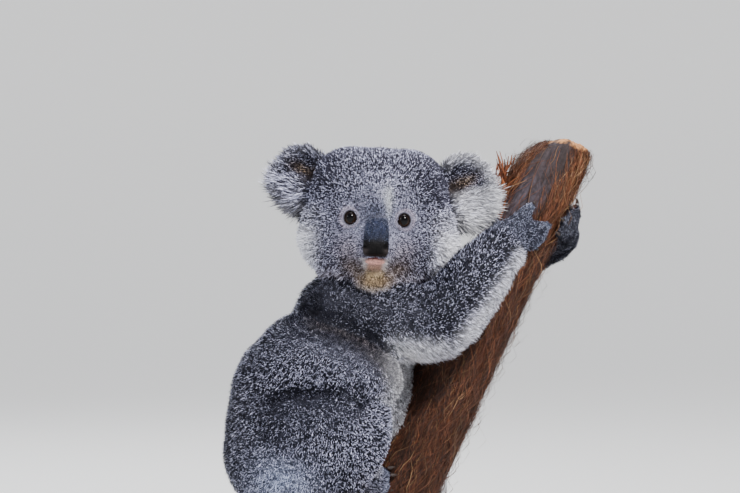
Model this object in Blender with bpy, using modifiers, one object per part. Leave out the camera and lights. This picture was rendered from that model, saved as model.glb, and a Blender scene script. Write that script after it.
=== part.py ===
"""A young koala hugging a leaning length of stringybark trunk, carried by a plain display stand.

Row frame: metres, +Z up, with the origin at the middle of the stand's underside. The front view looks
along +Y. +X points from the koala's back towards the trunk. Left and right are the koala's own, so its
right arm and leg are on the front (-Y) side. Lengths below are in millimetres, and mm() turns them into
metres. Every form of the koala reaches out to the tips of its coat.
"""

import math

import bmesh
import bpy
from mathutils import Matrix, Vector

MM = 0.001
GAP = 0.3 * MM  # left open wherever two pieces meet

# Display stand
BASE_RADIUS = 130
BASE_THICKNESS = 16
BASE_BEVEL = 3
ROD_RADIUS = 5
FLANGE_RADIUS = 13
FLANGE_THICKNESS = 3
ROD_PLACES = (-8, 62)  # along X, under the perch

# Perch: a tapered trunk that leans towards +X
PERCH_FOOT = (-2.5, 0, 62)
PERCH_LEAN = math.radians(25.65)
PERCH_LENGTH = 387
PERCH_RADIUS_LOW = 36
PERCH_RADIUS_HIGH = 28
PERCH_SIDES = 18
PERCH_RINGS = 10

# Head: its place is the point midway between the eyes; the sizes run from there
HEAD_PLACE = (6, -35, 349)
HEAD_ROLL = math.radians(2.8)
EYE_APART = 47
EYE_RADIUS = 7.2
EYE_DEPTH = 40.5
EAR_OUT = 74.5
EAR_UP = 26

# Fineness of the blended forms: voxel size, smoothing passes, triangles kept
HEAD_MESH = (3.2, 5, 820)
TORSO_MESH = (5.0, 7, 580)
ARM_MESH = (4.0, 5, 270)
LEG_MESH = (4.5, 5, 270)
HAND_MESH = (1.7, 2, 360)
FOOT_MESH = (1.9, 2, 300)
EAR_MESH = (2.6, 3, 170)
NOSE_MESH = (1.5, 5, 130)

FUR_GREY = (0.23, 0.23, 0.26)
FUR_PALE = (0.46, 0.46, 0.48)


def mm(*values):
    """A point or a size given in millimetres, as a vector in metres."""
    return Vector(values) * MM


# ---------------------------------------------------------------- places on the perch and the head


PERCH_UP = Vector((math.sin(PERCH_LEAN), 0, math.cos(PERCH_LEAN)))
PERCH_SIDE = Vector((math.cos(PERCH_LEAN), 0, -math.sin(PERCH_LEAN)))
PERCH_FRONT = Vector((0, -1, 0))


def perch_radius(along):
    share = along / PERCH_LENGTH
    return PERCH_RADIUS_LOW + (PERCH_RADIUS_HIGH - PERCH_RADIUS_LOW) * share


def by_perch(along, angle, off):
    """A point `along` the perch from its lower end, `off` millimetres from the bark, and `angle` degrees
    round it from its front towards +X."""
    turn = math.radians(angle)
    out = PERCH_FRONT * math.cos(turn) + PERCH_SIDE * math.sin(turn)
    return mm(*PERCH_FOOT) + (PERCH_UP * along + out * (perch_radius(along) + off)) * MM


HEAD_FRAME = Matrix.Translation(mm(*HEAD_PLACE)) @ Matrix.Rotation(HEAD_ROLL, 4, "Y")


def in_head(right, forward, up):
    """A point of the head, with right as the viewer sees it."""
    return HEAD_FRAME @ mm(right, -forward, up)


# ---------------------------------------------------------------- modelling helpers


def clear_scene():
    for item in list(bpy.data.objects):
        bpy.data.objects.remove(item, do_unlink=True)


def collection(name, shown=True):
    made = bpy.data.collections.new(name)
    made.hide_render = not shown
    bpy.context.scene.collection.children.link(made)
    return made


def material(name, colour, roughness, metallic=0.0):
    made = bpy.data.materials.new(name)
    made.use_nodes = True
    made.diffuse_color = (*colour, 1)
    shader = made.node_tree.nodes["Principled BSDF"]
    shader.inputs["Base Color"].default_value = (*colour, 1)
    shader.inputs["Roughness"].default_value = roughness
    shader.inputs["Metallic"].default_value = metallic
    return made


def object_from(bm, name, home):
    mesh = bpy.data.meshes.new(name)
    bm.to_mesh(mesh)
    bm.free()
    made = bpy.data.objects.new(name, mesh)
    home.objects.link(made)
    return made


def bake_modifiers(item):
    """Makes the object's mesh what its modifiers show, and drops them."""
    bpy.context.view_layer.update()
    graph = bpy.context.evaluated_depsgraph_get()
    mesh = bpy.data.meshes.new_from_object(item.evaluated_get(graph))
    item.modifiers.clear()
    item.data = mesh
    return item


def ball(bm, centre, radii, turn=None, fineness=3):
    """Adds an ellipsoid: centre in metres, radii in millimetres."""
    place = Matrix.Translation(centre) @ (turn or Matrix.Identity(4))
    place = place @ Matrix.Diagonal((*mm(*radii), 1))
    bmesh.ops.create_icosphere(bm, subdivisions=fineness, radius=1, matrix=place)


def between(stops, t):
    """A smooth curve through the stops, with t from 0 to len(stops) - 1. A stop is (point, radius)."""
    i = min(int(t), len(stops) - 2)
    t -= i
    four = [stops[max(0, min(len(stops) - 1, i + k))] for k in (-1, 0, 1, 2)]

    def blend(p0, p1, p2, p3):
        bow = 2 * p0 - 5 * p1 + 4 * p2 - p3
        twist = 3 * p1 - p0 - 3 * p2 + p3
        return 0.5 * (2 * p1 + (p2 - p0) * t + bow * t**2 + twist * t**3)

    return blend(*(point for point, _ in four)), blend(*(radius for _, radius in four))


def limb(bm, *stops, fineness=2):
    """Adds a round limb through the stops as overlapping balls, a third of a radius apart."""
    length = sum((b[0] - a[0]).length for a, b in zip(stops, stops[1:]))
    thinnest = min(radius for _, radius in stops) * MM
    count = max(4, math.ceil(3 * length / thinnest))
    for k in range(count + 1):
        point, radius = between(stops, (len(stops) - 1) * k / count)
        ball(bm, point, (radius,) * 3, fineness=fineness)


def blended(name, bm, fineness, home, finish):
    """Joins the balls of bm into one smooth closed form."""
    voxel, passes, triangles = fineness
    form = object_from(bm, name, home)
    remesh = form.modifiers.new("join", "REMESH")
    remesh.mode = "VOXEL"
    remesh.voxel_size = voxel * MM
    smooth = form.modifiers.new("soften", "SMOOTH")
    smooth.factor = 0.6
    smooth.iterations = passes
    bake_modifiers(form)
    have = sum(len(face.vertices) - 2 for face in form.data.polygons)
    thin = form.modifiers.new("thin", "DECIMATE")
    thin.ratio = min(1.0, triangles / have)
    thin.use_collapse_triangulate = True
    bake_modifiers(form)
    form.data.materials.clear()
    form.data.materials.append(finish)
    return form


def keep_largest(item):
    """Drops every island of faces but the one with the largest area."""
    bm = bmesh.new()
    bm.from_mesh(item.data)
    left, islands = set(bm.faces), []
    while left:
        island, edge = set(), [left.pop()]
        while edge:
            face = edge.pop()
            island.add(face)
            for near in (link for corner in face.edges for link in corner.link_faces):
                if near in left:
                    left.discard(near)
                    edge.append(near)
        islands.append(island)
    islands.sort(key=lambda faces: sum(face.calc_area() for face in faces))
    waste = [face for island in islands[:-1] for face in island]
    bmesh.ops.delete(bm, geom=waste, context="FACES")
    bm.to_mesh(item.data)
    bm.free()


def boolean(item, cutter, operation):
    cut = item.modifiers.new("cut", "BOOLEAN")
    cut.operation = operation
    cut.solver = "EXACT"
    cut.object = cutter
    bake_modifiers(item)


def room_for(item):
    """A cutter that makes room for a piece: its form grown by the gap."""
    room = bpy.data.objects.new(f"room_{item.name}", item.data.copy())
    room.display_type = "WIRE"
    room.hide_render = True
    cutters.objects.link(room)
    for vertex, normal in zip(room.data.vertices, [vertex.normal.copy() for vertex in item.data.vertices]):
        vertex.co += normal * GAP
    return room


def cut_by(item, *rooms):
    """Takes each room out of a piece."""
    for room in rooms:
        boolean(item, room, "DIFFERENCE")
        keep_largest(item)


def keep_side(item, point, normal, side):
    """Keeps what lies ahead of a plane (side 1) or behind it (side -1), half a gap away from it."""
    bm = bmesh.new()
    bmesh.ops.create_cube(bm, size=1)
    turn = normal.to_track_quat("Z", "Y").to_matrix().to_4x4()
    shift = Matrix.Translation(Vector((0, 0, side * (0.5 + GAP / 2))))
    bmesh.ops.transform(bm, matrix=Matrix.Translation(point) @ turn @ shift, verts=bm.verts)
    half = object_from(bm, "half", cutters)
    boolean(item, half, "INTERSECT")
    bpy.data.objects.remove(half)
    keep_largest(item)


def split(item, point, normal, behind, ahead):
    """Parts a form at a plane into two pieces with these names."""
    other = bpy.data.objects.new(behind, item.data.copy())
    koala.objects.link(other)
    item.name = ahead
    keep_side(other, point, normal, -1)
    keep_side(item, point, normal, 1)
    return other, item


def shade_smooth(item, sharpest=50):
    item.data.shade_smooth()
    item.data.set_sharp_from_angle(angle=math.radians(sharpest))


# ---------------------------------------------------------------- stand and perch


def turned(name, profile, steps, home, finish):
    """A round solid from a profile of (radius, height) that runs from its top down to its foot."""
    bm = bmesh.new()
    corners = [bm.verts.new(mm(radius, 0, height)) for radius, height in profile]
    for a, b in zip(corners, corners[1:]):
        bm.edges.new((a, b))
    made = object_from(bm, name, home)
    screw = made.modifiers.new("turn", "SCREW")
    screw.steps = screw.render_steps = steps
    screw.use_merge_vertices = True
    screw.merge_threshold = 0.01 * MM
    bake_modifiers(made)
    made.data.materials.append(finish)
    return made


def stand_base():
    rim, top = BASE_RADIUS - BASE_BEVEL, BASE_THICKNESS
    profile = [(0, top), (rim, top), (rim + 0.7 * BASE_BEVEL, top - 0.3 * BASE_BEVEL)]
    profile += [(BASE_RADIUS, top - BASE_BEVEL), (BASE_RADIUS, 1.5), (BASE_RADIUS - 1.5, 0), (0, 0)]
    return turned("stand_base", profile, 36, stand, wood_finish)


def stand_rod(number, place):
    """A steel rod on a round foot. It runs up into the perch, which is cut out of it afterwards."""
    foot = BASE_THICKNESS + GAP / MM
    top = PERCH_FOOT[2] + max(0, place / math.tan(PERCH_LEAN))
    shoulder = foot + FLANGE_THICKNESS
    profile = [(0, top), (ROD_RADIUS, top), (ROD_RADIUS, shoulder + 1), (ROD_RADIUS + 1.5, shoulder)]
    profile += [(FLANGE_RADIUS, shoulder), (FLANGE_RADIUS, foot), (0, foot)]
    rod = turned(f"stand_rod_{number}", profile, 12, stand, steel_finish)
    rod.data.transform(Matrix.Translation(mm(place, 0, 0)))
    return rod


def bark_relief(angle, along):
    """How far the bark stands out of the even taper, in millimetres."""
    ribs = 1.5 * math.sin(3 * angle + 0.9 + along / 130) + 1.0 * math.sin(5 * angle - along / 70)
    knots = 1.1 * math.sin(along / 31 + 2 * angle) + 0.6 * math.sin(along / 17 - 3 * angle)
    flare = 2.5 * math.exp(-((along - PERCH_LENGTH) / 16) ** 2)
    return ribs + knots + flare


def perch_trunk():
    """The cut length of trunk, with a weathered, slightly slanting upper end."""
    bm = bmesh.new()
    bmesh.ops.create_cone(
        bm, cap_ends=True, cap_tris=True, segments=PERCH_SIDES, radius1=1, radius2=1, depth=1
    )
    upright = [edge for edge in bm.edges if abs(edge.verts[0].co.z - edge.verts[1].co.z) > 0.5]
    bmesh.ops.subdivide_edges(bm, edges=upright, cuts=PERCH_RINGS, use_grid_fill=False)
    for vertex in bm.verts:
        share = vertex.co.z + 0.5
        angle = math.atan2(vertex.co.y, vertex.co.x)
        on_rim = math.hypot(vertex.co.x, vertex.co.y) > 0.5
        along = PERCH_LENGTH * share
        radius = (perch_radius(along) + bark_relief(angle, along)) * on_rim
        slant = 5.0 * math.cos(angle) * on_rim if share > 0.99 else 0.0
        vertex.co = mm(radius * math.cos(angle), radius * math.sin(angle), along + slant)
    place = Matrix.Translation(mm(*PERCH_FOOT)) @ Matrix.Rotation(PERCH_LEAN, 4, "Y")
    bmesh.ops.transform(bm, matrix=place, verts=bm.verts)
    bmesh.ops.triangulate(bm, faces=bm.faces)
    made = object_from(bm, "perch_trunk", stand)
    made.data.materials.append(bark_finish)
    return made


# ---------------------------------------------------------------- head


def head_form():
    bm = bmesh.new()
    tilt = Matrix.Rotation(HEAD_ROLL, 4, "Y")

    def lump(right, forward, up, *radii):
        ball(bm, in_head(right, forward, up), radii, tilt)

    lump(0, 4, 18, 46, 50, 42)  # cranium
    lump(0, 10, -4, 46, 38, 40)  # face
    lump(0, 38, -24, 22, 22, 21)  # muzzle
    lump(0, 32, -49, 17, 17, 15)  # chin
    lump(0, 4, -33, 47, 42, 29)  # jaw
    for side in (-1, 1):
        lump(side * 23, 2, 24, 36, 44, 36)  # crown
        lump(side * 34, 0, -15, 35, 42, 38)  # cheek
        lump(side * 23, 29, 15, 17, 13, 10)  # brow
        lump(side * 19, 34, -23, 17, 15, 16)  # muzzle pad
    limb(
        bm,
        (in_head(0, 38, 24), 12),
        (in_head(0, 43, 6), 11),
        (in_head(0, 47, -8), 11),
    )
    return blended("head", bm, HEAD_MESH, koala, grey_finish)


def nose_form():
    """The long leathery pad of the nose, which broadens towards the nostrils."""
    bm = bmesh.new()
    limb(
        bm,
        (in_head(0, 49.5, -6), 8.5),
        (in_head(0, 53, -13), 10),
        (in_head(0, 55, -21), 11.4),
    )
    return blended("nose", bm, NOSE_MESH, koala, nose_finish)


def eye_ball(name, side):
    bm = bmesh.new()
    centre = in_head(side * EYE_APART / 2, EYE_DEPTH, 0)
    ball(bm, centre, (EYE_RADIUS,) * 3, fineness=2)
    made = object_from(bm, name, koala)
    made.data.materials.append(eye_finish)
    return made


def ear_form(name, side):
    """A round ear with its long fringe, hollowed in front."""
    tilt = Matrix.Rotation(HEAD_ROLL, 4, "Y") @ Matrix.Rotation(side * math.radians(20), 4, "Z")
    lean = Matrix.Rotation(side * math.radians(-12), 4, "Y")
    bm = bmesh.new()
    ball(bm, in_head(side * EAR_OUT, 0, EAR_UP), (24, 12, 31), tilt @ lean)
    ball(bm, in_head(side * (EAR_OUT - 14), 0, EAR_UP + 4), (20, 14, 26), tilt @ lean)
    ball(bm, in_head(side * (EAR_OUT - 2), 4, EAR_UP - 22), (17, 9, 15), tilt @ lean)
    ear = blended(name, bm, EAR_MESH, koala, pale_finish)
    bm = bmesh.new()
    ball(bm, in_head(side * (EAR_OUT - 10), 20, EAR_UP), (14, 12, 19), tilt @ lean, fineness=2)
    hollow = object_from(bm, "hollow", cutters)
    boolean(ear, hollow, "DIFFERENCE")
    bpy.data.objects.remove(hollow)
    return ear


# ---------------------------------------------------------------- trunk of the body

NECK_BASE = mm(2, -20, 284)


def torso_form():
    bm = bmesh.new()
    ball(bm, mm(-56, -36, 158), (67, 61, 72))  # rump
    ball(bm, mm(-55, -30, 210), (60, 56, 57))  # back
    ball(bm, mm(-28, -18, 258), (42, 44, 46))  # shoulders
    ball(bm, mm(2, -12, 260), (50, 48, 50))  # chest
    ball(bm, mm(4, -20, 298), (44, 44, 34))  # neck
    ball(bm, mm(-6, -12, 200), (46, 46, 56))  # belly
    limb(bm, (mm(-62, -58, 235), 38), (mm(-25, -72, 226), 34), (mm(2, -80, 216), 27), (mm(12, -78, 209), 18))
    limb(bm, (mm(-52, 0, 235), 37), (mm(-16, 16, 224), 31), (mm(12, 24, 212), 20))
    return blended("torso", bm, TORSO_MESH, koala, grey_finish)


# ---------------------------------------------------------------- limbs

# Stops from the shoulder or the hip to the wrist or the ankle, as (point, radius). The third one is the
# elbow or the knee.
RIGHT_ARM = (
    (mm(-22, -48, 268), 34),
    (mm(20, -58, 263), 33),
    (mm(56, -66, 259), 31),
    (mm(83, -62, 283), 29),
    (by_perch(284, -12, 17), 19),
)
LEFT_ARM = (
    (mm(2, 22, 268), 34),
    (mm(38, 44, 266), 30),
    (mm(72, 60, 266), 27),
    (mm(112, 56, 296), 21),
    (by_perch(306, 118, 13), 15),
)
RIGHT_LEG = (
    (mm(-54, -62, 172), 43),
    (mm(-34, -74, 176), 39),
    (mm(-16, -80, 180), 34),
    (mm(-15, -76, 160), 30),
    (mm(-22, -64, 132), 21),
)
LEFT_LEG = (
    (mm(-44, 0, 172), 42),
    (mm(-22, 18, 176), 38),
    (mm(-2, 32, 180), 33),
    (mm(-4, 40, 160), 28),
    (mm(-16, 52, 132), 20),
)
JOINT_STOP = 2

# Hands and feet hold the perch, so their places are (along, angle) on it: that of the palm or sole, and
# for each digit that of its root, that of its tip, and its radius.
RIGHT_PALM = (301, -10)
RIGHT_FINGERS = (
    ((300, -34), (309, -82), 5.2),
    ((309, -16), (327, -5), 6.0),
    ((307, -4), (318, 26), 6.4),
    ((301, -2), (307, 27), 6.2),
    ((295, -4), (297, 21), 5.8),
)
LEFT_PALM = (320, 104)
LEFT_FINGERS = (
    ((322, 122), (332, 162), 5.0),
    ((329, 102), (346, 88), 5.6),
    ((328, 92), (340, 64), 6.0),
    ((321, 90), (328, 58), 6.0),
    ((314, 92), (317, 62), 5.6),
)
RIGHT_SOLE = (54, -50)
RIGHT_TOES = (
    ((48, -58), (32, -42), 6.4),
    ((62, -47), (73, -26), 4.8),
    ((59, -44), (69, -19), 4.8),
    ((54, -44), (58, -16), 7.0),
    ((48, -46), (46, -20), 6.4),
)
LEFT_SOLE = (54, -132)
LEFT_TOES = (
    ((48, -124), (32, -140), 6.4),
    ((62, -135), (73, -156), 4.8),
    ((59, -138), (69, -163), 4.8),
    ((54, -138), (58, -166), 7.0),
    ((48, -136), (46, -162), 6.4),
)
PLANS = {
    "arm": {
        "pieces": ("upper_arm", "forearm"),
        "fineness": ARM_MESH,
        "paw": "hand",
        "palm_size": 13,
        "paw_fineness": HAND_MESH,
        "first_claw": 1,
    },
    "leg": {
        "pieces": ("thigh", "shin"),
        "fineness": LEG_MESH,
        "paw": "foot",
        "palm_size": 15,
        "paw_fineness": FOOT_MESH,
        "first_claw": 2,  # the big toe has none
    },
}
CLAW_LENGTH = 10
CLAW_RADIUS = 2.4
CLAW_POINT = 0.35
CLAW_STEPS = 3


def digit_stops(root, tip, radius):
    """A digit's path over the bark: it arches at the knuckle and comes down to its tip."""
    middle = [(a + b) / 2 for a, b in zip(root, tip)]
    return (
        (by_perch(*root, radius + 2.5), radius * 1.05),
        (by_perch(*middle, radius + 3.0), radius * 1.05),
        (by_perch(*tip, radius + 0.6), radius * 0.9),
    )


def paw_form(name, palm, palm_size, digits, end, fineness):
    """A hand or a foot, from the limb's end to the tips of its digits."""
    bm = bmesh.new()
    middle = by_perch(*palm, palm_size * 0.75)
    limb(bm, end, (middle, palm_size), fineness=3)
    for digit in digits:
        knuckle, arch, pad = digit_stops(*digit)
        heel = ((middle + knuckle[0]) / 2, knuckle[1] * 1.1)
        limb(bm, heel, knuckle, arch, pad)
    return blended(name, bm, fineness, koala, pale_finish)


def claw_form(name, root, tip, radius):
    """A tapered claw that leaves a digit's tip and bends down to the bark."""
    start = by_perch(*[b - 0.05 * (b - a) for a, b in zip(root, tip)], radius + 1.1)
    ahead = (by_perch(*tip, 0) - by_perch(*root, 0)).normalized()
    down = (by_perch(*tip, 0) - by_perch(*tip, 1)).normalized()
    spine = bpy.data.curves.new(name, "CURVE")
    spine.dimensions = "3D"
    spine.bevel_depth = MM
    spine.bevel_resolution = 1
    spine.use_fill_caps = True
    line = spine.splines.new("POLY")
    line.points.add(CLAW_STEPS)
    for k, point in enumerate(line.points):
        share = k / CLAW_STEPS
        reach = ahead * CLAW_LENGTH * 0.95 * math.sin(1.25 * share)
        drop = down * radius * 0.95 * (1 - math.cos(1.5 * share))
        point.co = (*(start + (reach + drop) * MM), 1)
        point.radius = CLAW_RADIUS * (1 - share) ** 0.7 + CLAW_POINT
    guide = bpy.data.objects.new("spine", spine)
    cutters.objects.link(guide)
    bake = bpy.context.evaluated_depsgraph_get()
    mesh = bpy.data.meshes.new_from_object(guide.evaluated_get(bake))
    bpy.data.objects.remove(guide)
    bm = bmesh.new()
    bm.from_mesh(mesh)
    bmesh.ops.remove_doubles(bm, verts=bm.verts, dist=0.05 * MM)
    bmesh.ops.recalc_face_normals(bm, faces=bm.faces)
    made = object_from(bm, name, koala)
    made.data.materials.append(claw_finish)
    return made


def make_limb(kind, side, stops, palm, digits, others):
    """Makes an arm with its hand, or a leg with its foot, clear of the others, and returns its rooms."""
    plan = PLANS[kind]
    bm = bmesh.new()
    limb(bm, *stops, fineness=3)
    whole = blended(f"{kind}_{side}", bm, plan["fineness"], koala, grey_finish)
    limb_room = room_for(whole)
    cut_by(whole, perch_room, head_room, *others)
    top, joint, end = [stops[i][0] for i in (0, JOINT_STOP, -1)]
    bend = (end - joint).normalized() + (joint - top).normalized()
    upper, lower = [f"{piece}_{side}" for piece in plan["pieces"]]
    _, lower = split(whole, joint, bend.normalized(), upper, lower)

    paw_name = f"{plan['paw']}_{side}"
    paw = paw_form(paw_name, palm, plan["palm_size"], digits, stops[-1], plan["paw_fineness"])
    paw_room = room_for(paw)
    cut_by(paw, perch_room)
    grip = (by_perch(*palm, 0) - end).normalized()
    keep_side(paw, end, grip, 1)
    keep_side(lower, end, grip, -1)
    for number, digit in enumerate(digits, 1):
        if number >= plan["first_claw"]:
            cut_by(claw_form(f"claw_{paw_name}_{number}", *digit), perch_room, paw_room)
    return [limb_room, paw_room]


# ---------------------------------------------------------------- the whole


clear_scene()
koala = collection("koala")
stand = collection("stand_and_perch")
cutters = collection("cutters", shown=False)

grey_finish = material("coat_grey", FUR_GREY, 0.95)
pale_finish = material("coat_pale", FUR_PALE, 0.95)
nose_finish = material("nose_leather", (0.03, 0.035, 0.05), 0.5)
eye_finish = material("eye", (0.02, 0.012, 0.008), 0.08)
claw_finish = material("claw", (0.06, 0.05, 0.05), 0.35)
bark_finish = material("bark", (0.26, 0.12, 0.06), 0.9)
wood_finish = material("stand_wood", (0.30, 0.20, 0.12), 0.55)
steel_finish = material("stand_steel", (0.55, 0.55, 0.56), 0.3, 1.0)

stand_base()
perch_room = room_for(perch_trunk())
for number, place in enumerate(ROD_PLACES, 1):
    cut_by(stand_rod(number, place), perch_room)

eyes = [eye_ball("eye_right", -1), eye_ball("eye_left", 1)]
nose = nose_form()
head = head_form()
head_room = room_for(head)
cut_by(head, *[room_for(piece) for piece in (*eyes, nose)])
ears = [ear_form("ear_right", -1), ear_form("ear_left", 1)]
ear_rooms = [room_for(ear) for ear in ears]
for ear in ears:
    cut_by(ear, head_room)

rooms = make_limb("arm", "right", RIGHT_ARM, RIGHT_PALM, RIGHT_FINGERS, [])
rooms += make_limb("leg", "right", RIGHT_LEG, RIGHT_SOLE, RIGHT_TOES, [])
rooms += make_limb("arm", "left", LEFT_ARM, LEFT_PALM, LEFT_FINGERS, rooms)
rooms += make_limb("leg", "left", LEFT_LEG, LEFT_SOLE, LEFT_TOES, rooms)

torso = torso_form()
cut_by(torso, perch_room, head_room, *ear_rooms, *rooms)
split(torso, NECK_BASE, (mm(*HEAD_PLACE) - NECK_BASE).normalized(), "trunk", "neck")

for piece in bpy.data.objects:
    if piece.type == "MESH":
        shade_smooth(piece)
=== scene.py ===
"""The looks of the young koala on its perch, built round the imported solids.

Everything is in the row's frame, in metres; a name that ends in _MM holds millimetres. Places on the head
are (right, forward, up) in millimetres from the head's middle, level with the eyes, with right as the
viewer sees it. Places on the perch are (along, angle, off): millimetres up its axis from its lower end,
radians round it from its front towards +X, and millimetres off the bark.
"""

import math
from contextlib import contextmanager

import bmesh
import bpy
import numpy as np
from mathutils import Matrix, Vector
from mathutils.bvhtree import BVHTree


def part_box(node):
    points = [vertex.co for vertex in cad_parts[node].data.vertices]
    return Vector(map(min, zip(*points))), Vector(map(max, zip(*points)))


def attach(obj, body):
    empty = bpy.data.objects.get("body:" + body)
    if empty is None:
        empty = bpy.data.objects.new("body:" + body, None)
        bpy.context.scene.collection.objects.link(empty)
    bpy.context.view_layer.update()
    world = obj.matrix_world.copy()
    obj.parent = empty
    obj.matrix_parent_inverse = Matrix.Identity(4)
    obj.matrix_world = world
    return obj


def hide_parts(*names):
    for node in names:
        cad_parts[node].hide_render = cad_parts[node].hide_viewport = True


MM = 0.001
SEED = 20

# ---------------------------------------------------------------- sizes

SKIN_VOXEL = 2.15 * MM
MERGE = 0.02 * MM
LEAST_EDGE = 0.001 * MM
FLESH_GROWTH = 0.45 * MM  # closes the thin cuts between the solids
EYE_DEPTH_MM = 40.5  # how far the eyes' middles sit ahead of the head's origin
LIMBS = {
    "arm": ("upper_arm", "forearm", "hand"),
    "leg": ("thigh", "shin", "foot"),
}
SIDES = ("right", "left")

# Depth of the coat over the skin and length of its tufts in millimetres, how many tufts there are for each
# one on the trunk, how steeply they rise in radians, the share of light ones, and their relative width
COAT_MEASURES = ("depth", "length", "number", "lift", "light", "width")
COAT = {
    "trunk": (5.4, 6.4, 1.0, 1.1, 0.33, 1.0),
    "neck": (4.9, 6.2, 1.0, 1.1, 0.28, 1.0),
    "head": (3.9, 5.8, 1.4, 1.1, 0.33, 1.0),
    "upper_arm": (4.7, 6.0, 1.25, 0.95, 0.26, 0.9),
    "forearm": (4.3, 5.4, 1.6, 0.95, 0.17, 0.82),
    "hand": (1.2, 4.2, 2.4, 0.32, 0.24, 0.85),
    "thigh": (5.4, 6.4, 1.05, 1.1, 0.25, 1.0),
    "shin": (4.0, 6.0, 1.1, 1.1, 0.33, 1.0),
    "foot": (1.2, 2.8, 2.2, 0.36, 0.28, 0.85),
}
FINE_TUFTS = 605_000
LONG_TUFTS = 54_000
TUFT_WIDTH_MM = 0.48
CLUMP_MM = 0.74  # tufts rooted this close lean together, and some of them share a shade
CLUMP_SHARE = 0.5
EVEN_STEPS = np.array((0.8191725, 0.6710436, 0.5497005))  # spread the clumps' shades evenly
PIECE_TRIANGLES = 190_000  # at most about this many in each piece of the coat
PATCH = 0.003  # size of a tuft's place on the skin's map


def srgb(red, green, blue):
    """A colour given as 0 to 255 sRGB values, in linear light."""
    share = np.array((red, green, blue)) / 255
    return np.where(share <= 0.04045, share / 12.92, ((share + 0.055) / 1.055) ** 2.4)


TIP_LIGHT = srgb(219, 222, 255)
TIP_DARK = srgb(32, 33, 47)
FUR_ROOT = srgb(22, 22, 29)
WHITE = srgb(240, 240, 246)
CREAM = srgb(206, 190, 166)
TAN = srgb(150, 122, 92)
UMBER = srgb(74, 60, 50)
GOLD = srgb(182, 152, 114)
STREAK = srgb(244, 248, 255)
PINK = srgb(178, 130, 120)
LID = srgb(28, 24, 26)
RIM_OF_EYE = srgb(236, 220, 240)
# painted bluish light on the lower rump
FINGER_TIP = srgb(160, 174, 210)
RUMP_SKYLIGHT = srgb(202, 214, 250)
# light tips darkened as painted shade on the shoulders under the head
SHADED_SHOULDER_TIP = srgb(170, 172, 188)
FLANK_EDGE = srgb(196, 176, 158)
HEAD_DARK = srgb(62, 60, 78)
MUZZLE_TIP = srgb(226, 206, 214)
LIP = srgb(208, 162, 150)
MOUTH_RED = srgb(88, 40, 38)
UNDER_LIP = srgb(196, 172, 134)
UNDER_LIP_DARK = srgb(138, 117, 88)
# Colours of the light and of the dark hairs' tips
BACK_TIPS = srgb(142, 140, 150), srgb(70, 69, 78)
NEAR_HAND_TIPS = srgb(170, 176, 204), srgb(50, 52, 68)
# the far hand's are a darker copy of the near hand's: painted shade
SHADED_FAR_HAND_TIPS = srgb(150, 152, 172), srgb(42, 44, 57)
CHIN_TIPS = srgb(200, 172, 136), srgb(112, 91, 70)
BRIDGE_TIPS = srgb(120, 130, 166), srgb(14, 15, 26)

rng = np.random.default_rng(SEED)
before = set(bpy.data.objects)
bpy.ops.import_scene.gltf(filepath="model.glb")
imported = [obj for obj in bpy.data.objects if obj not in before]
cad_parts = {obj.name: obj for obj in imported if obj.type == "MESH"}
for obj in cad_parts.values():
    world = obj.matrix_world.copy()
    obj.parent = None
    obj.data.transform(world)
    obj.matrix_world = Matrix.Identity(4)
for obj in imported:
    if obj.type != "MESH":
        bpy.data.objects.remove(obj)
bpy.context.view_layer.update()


# ---------------------------------------------------------------- numbers on meshes


def read_from(items, attribute, width, kind):
    """An attribute of a mesh's items, with a row for each."""
    flat = np.empty(len(items) * width, kind)
    items.foreach_get(attribute, flat)
    return flat.reshape(-1, width)


def read_points(mesh):
    return read_from(mesh.vertices, "co", 3, np.float32).astype(float)


def read_triangles(mesh, field="vertices"):
    mesh.calc_loop_triangles()
    return read_from(mesh.loop_triangles, field, 3, np.int32)


def write_points(mesh, points):
    mesh.vertices.foreach_set("co", points.astype(np.float32).ravel())
    mesh.update()


def read_edges(mesh):
    return read_from(mesh.edges, "vertices", 2, np.int32)


def unit(vectors):
    return vectors / np.maximum(np.linalg.norm(vectors, axis=-1, keepdims=True), 1e-12)


def normals_of(points, triangles):
    a, b, c = (points[triangles[:, k]] for k in range(3))
    face = np.cross(b - a, c - a)
    total = np.zeros_like(points)
    for k in range(3):
        for axis in range(3):
            total[:, axis] += np.bincount(triangles[:, k], face[:, axis], len(points))
    return unit(total)


def smoothed(values, edges, passes, share=0.6):
    """Values at a mesh's points, evened out over its edges."""
    count = len(values)
    flat = values.reshape(count, -1).copy()
    a, b = edges.T
    degree = np.maximum(np.bincount(a, minlength=count) + np.bincount(b, minlength=count), 1)
    for _ in range(passes):
        for column in range(flat.shape[1]):
            line = flat[:, column]
            mean = (np.bincount(a, line[b], count) + np.bincount(b, line[a], count)) / degree
            flat[:, column] = line + share * (mean - line)
    return flat.reshape(values.shape)


def step(value, low, high):
    """0 below low, 1 above high, and a smooth rise between."""
    t = np.clip((value - low) / (high - low), 0, 1)
    return t * t * (3 - 2 * t)


def spot(points, centre, radii):
    """1 at the centre, fading over the radii."""
    return np.exp(-(((points - np.array(centre)) / np.array(radii)) ** 2).sum(-1))


def mirrored(points, form, sign):
    """A spot, given as its centre and radii, on the viewer's right (sign 1) or on the left (sign -1)."""
    (right, forward, up), radii = form
    return spot(points, (sign * right, forward, up), radii)


def ridge(value, middle, width):
    """1 at the middle value, fading over the width."""
    return np.exp(-(((value - middle) / width) ** 2))


def turned(angle, start):
    """How far an angle lies from the start, between half a turn back and half a turn on."""
    return np.angle(np.exp(1j * (angle - start)))


def mix(a, b, share):
    """Values between a and b; the share may differ from point to point."""
    share = np.asarray(share)
    if np.ndim(a) > 1 or np.ndim(b) > 1 or np.size(b) == 3 and share.ndim:
        share = share[..., None]
    return a + (b - a) * share


def draw_to(field, value, share):
    """Draws a field towards a value, in place."""
    field += share * (value - field)


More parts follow.
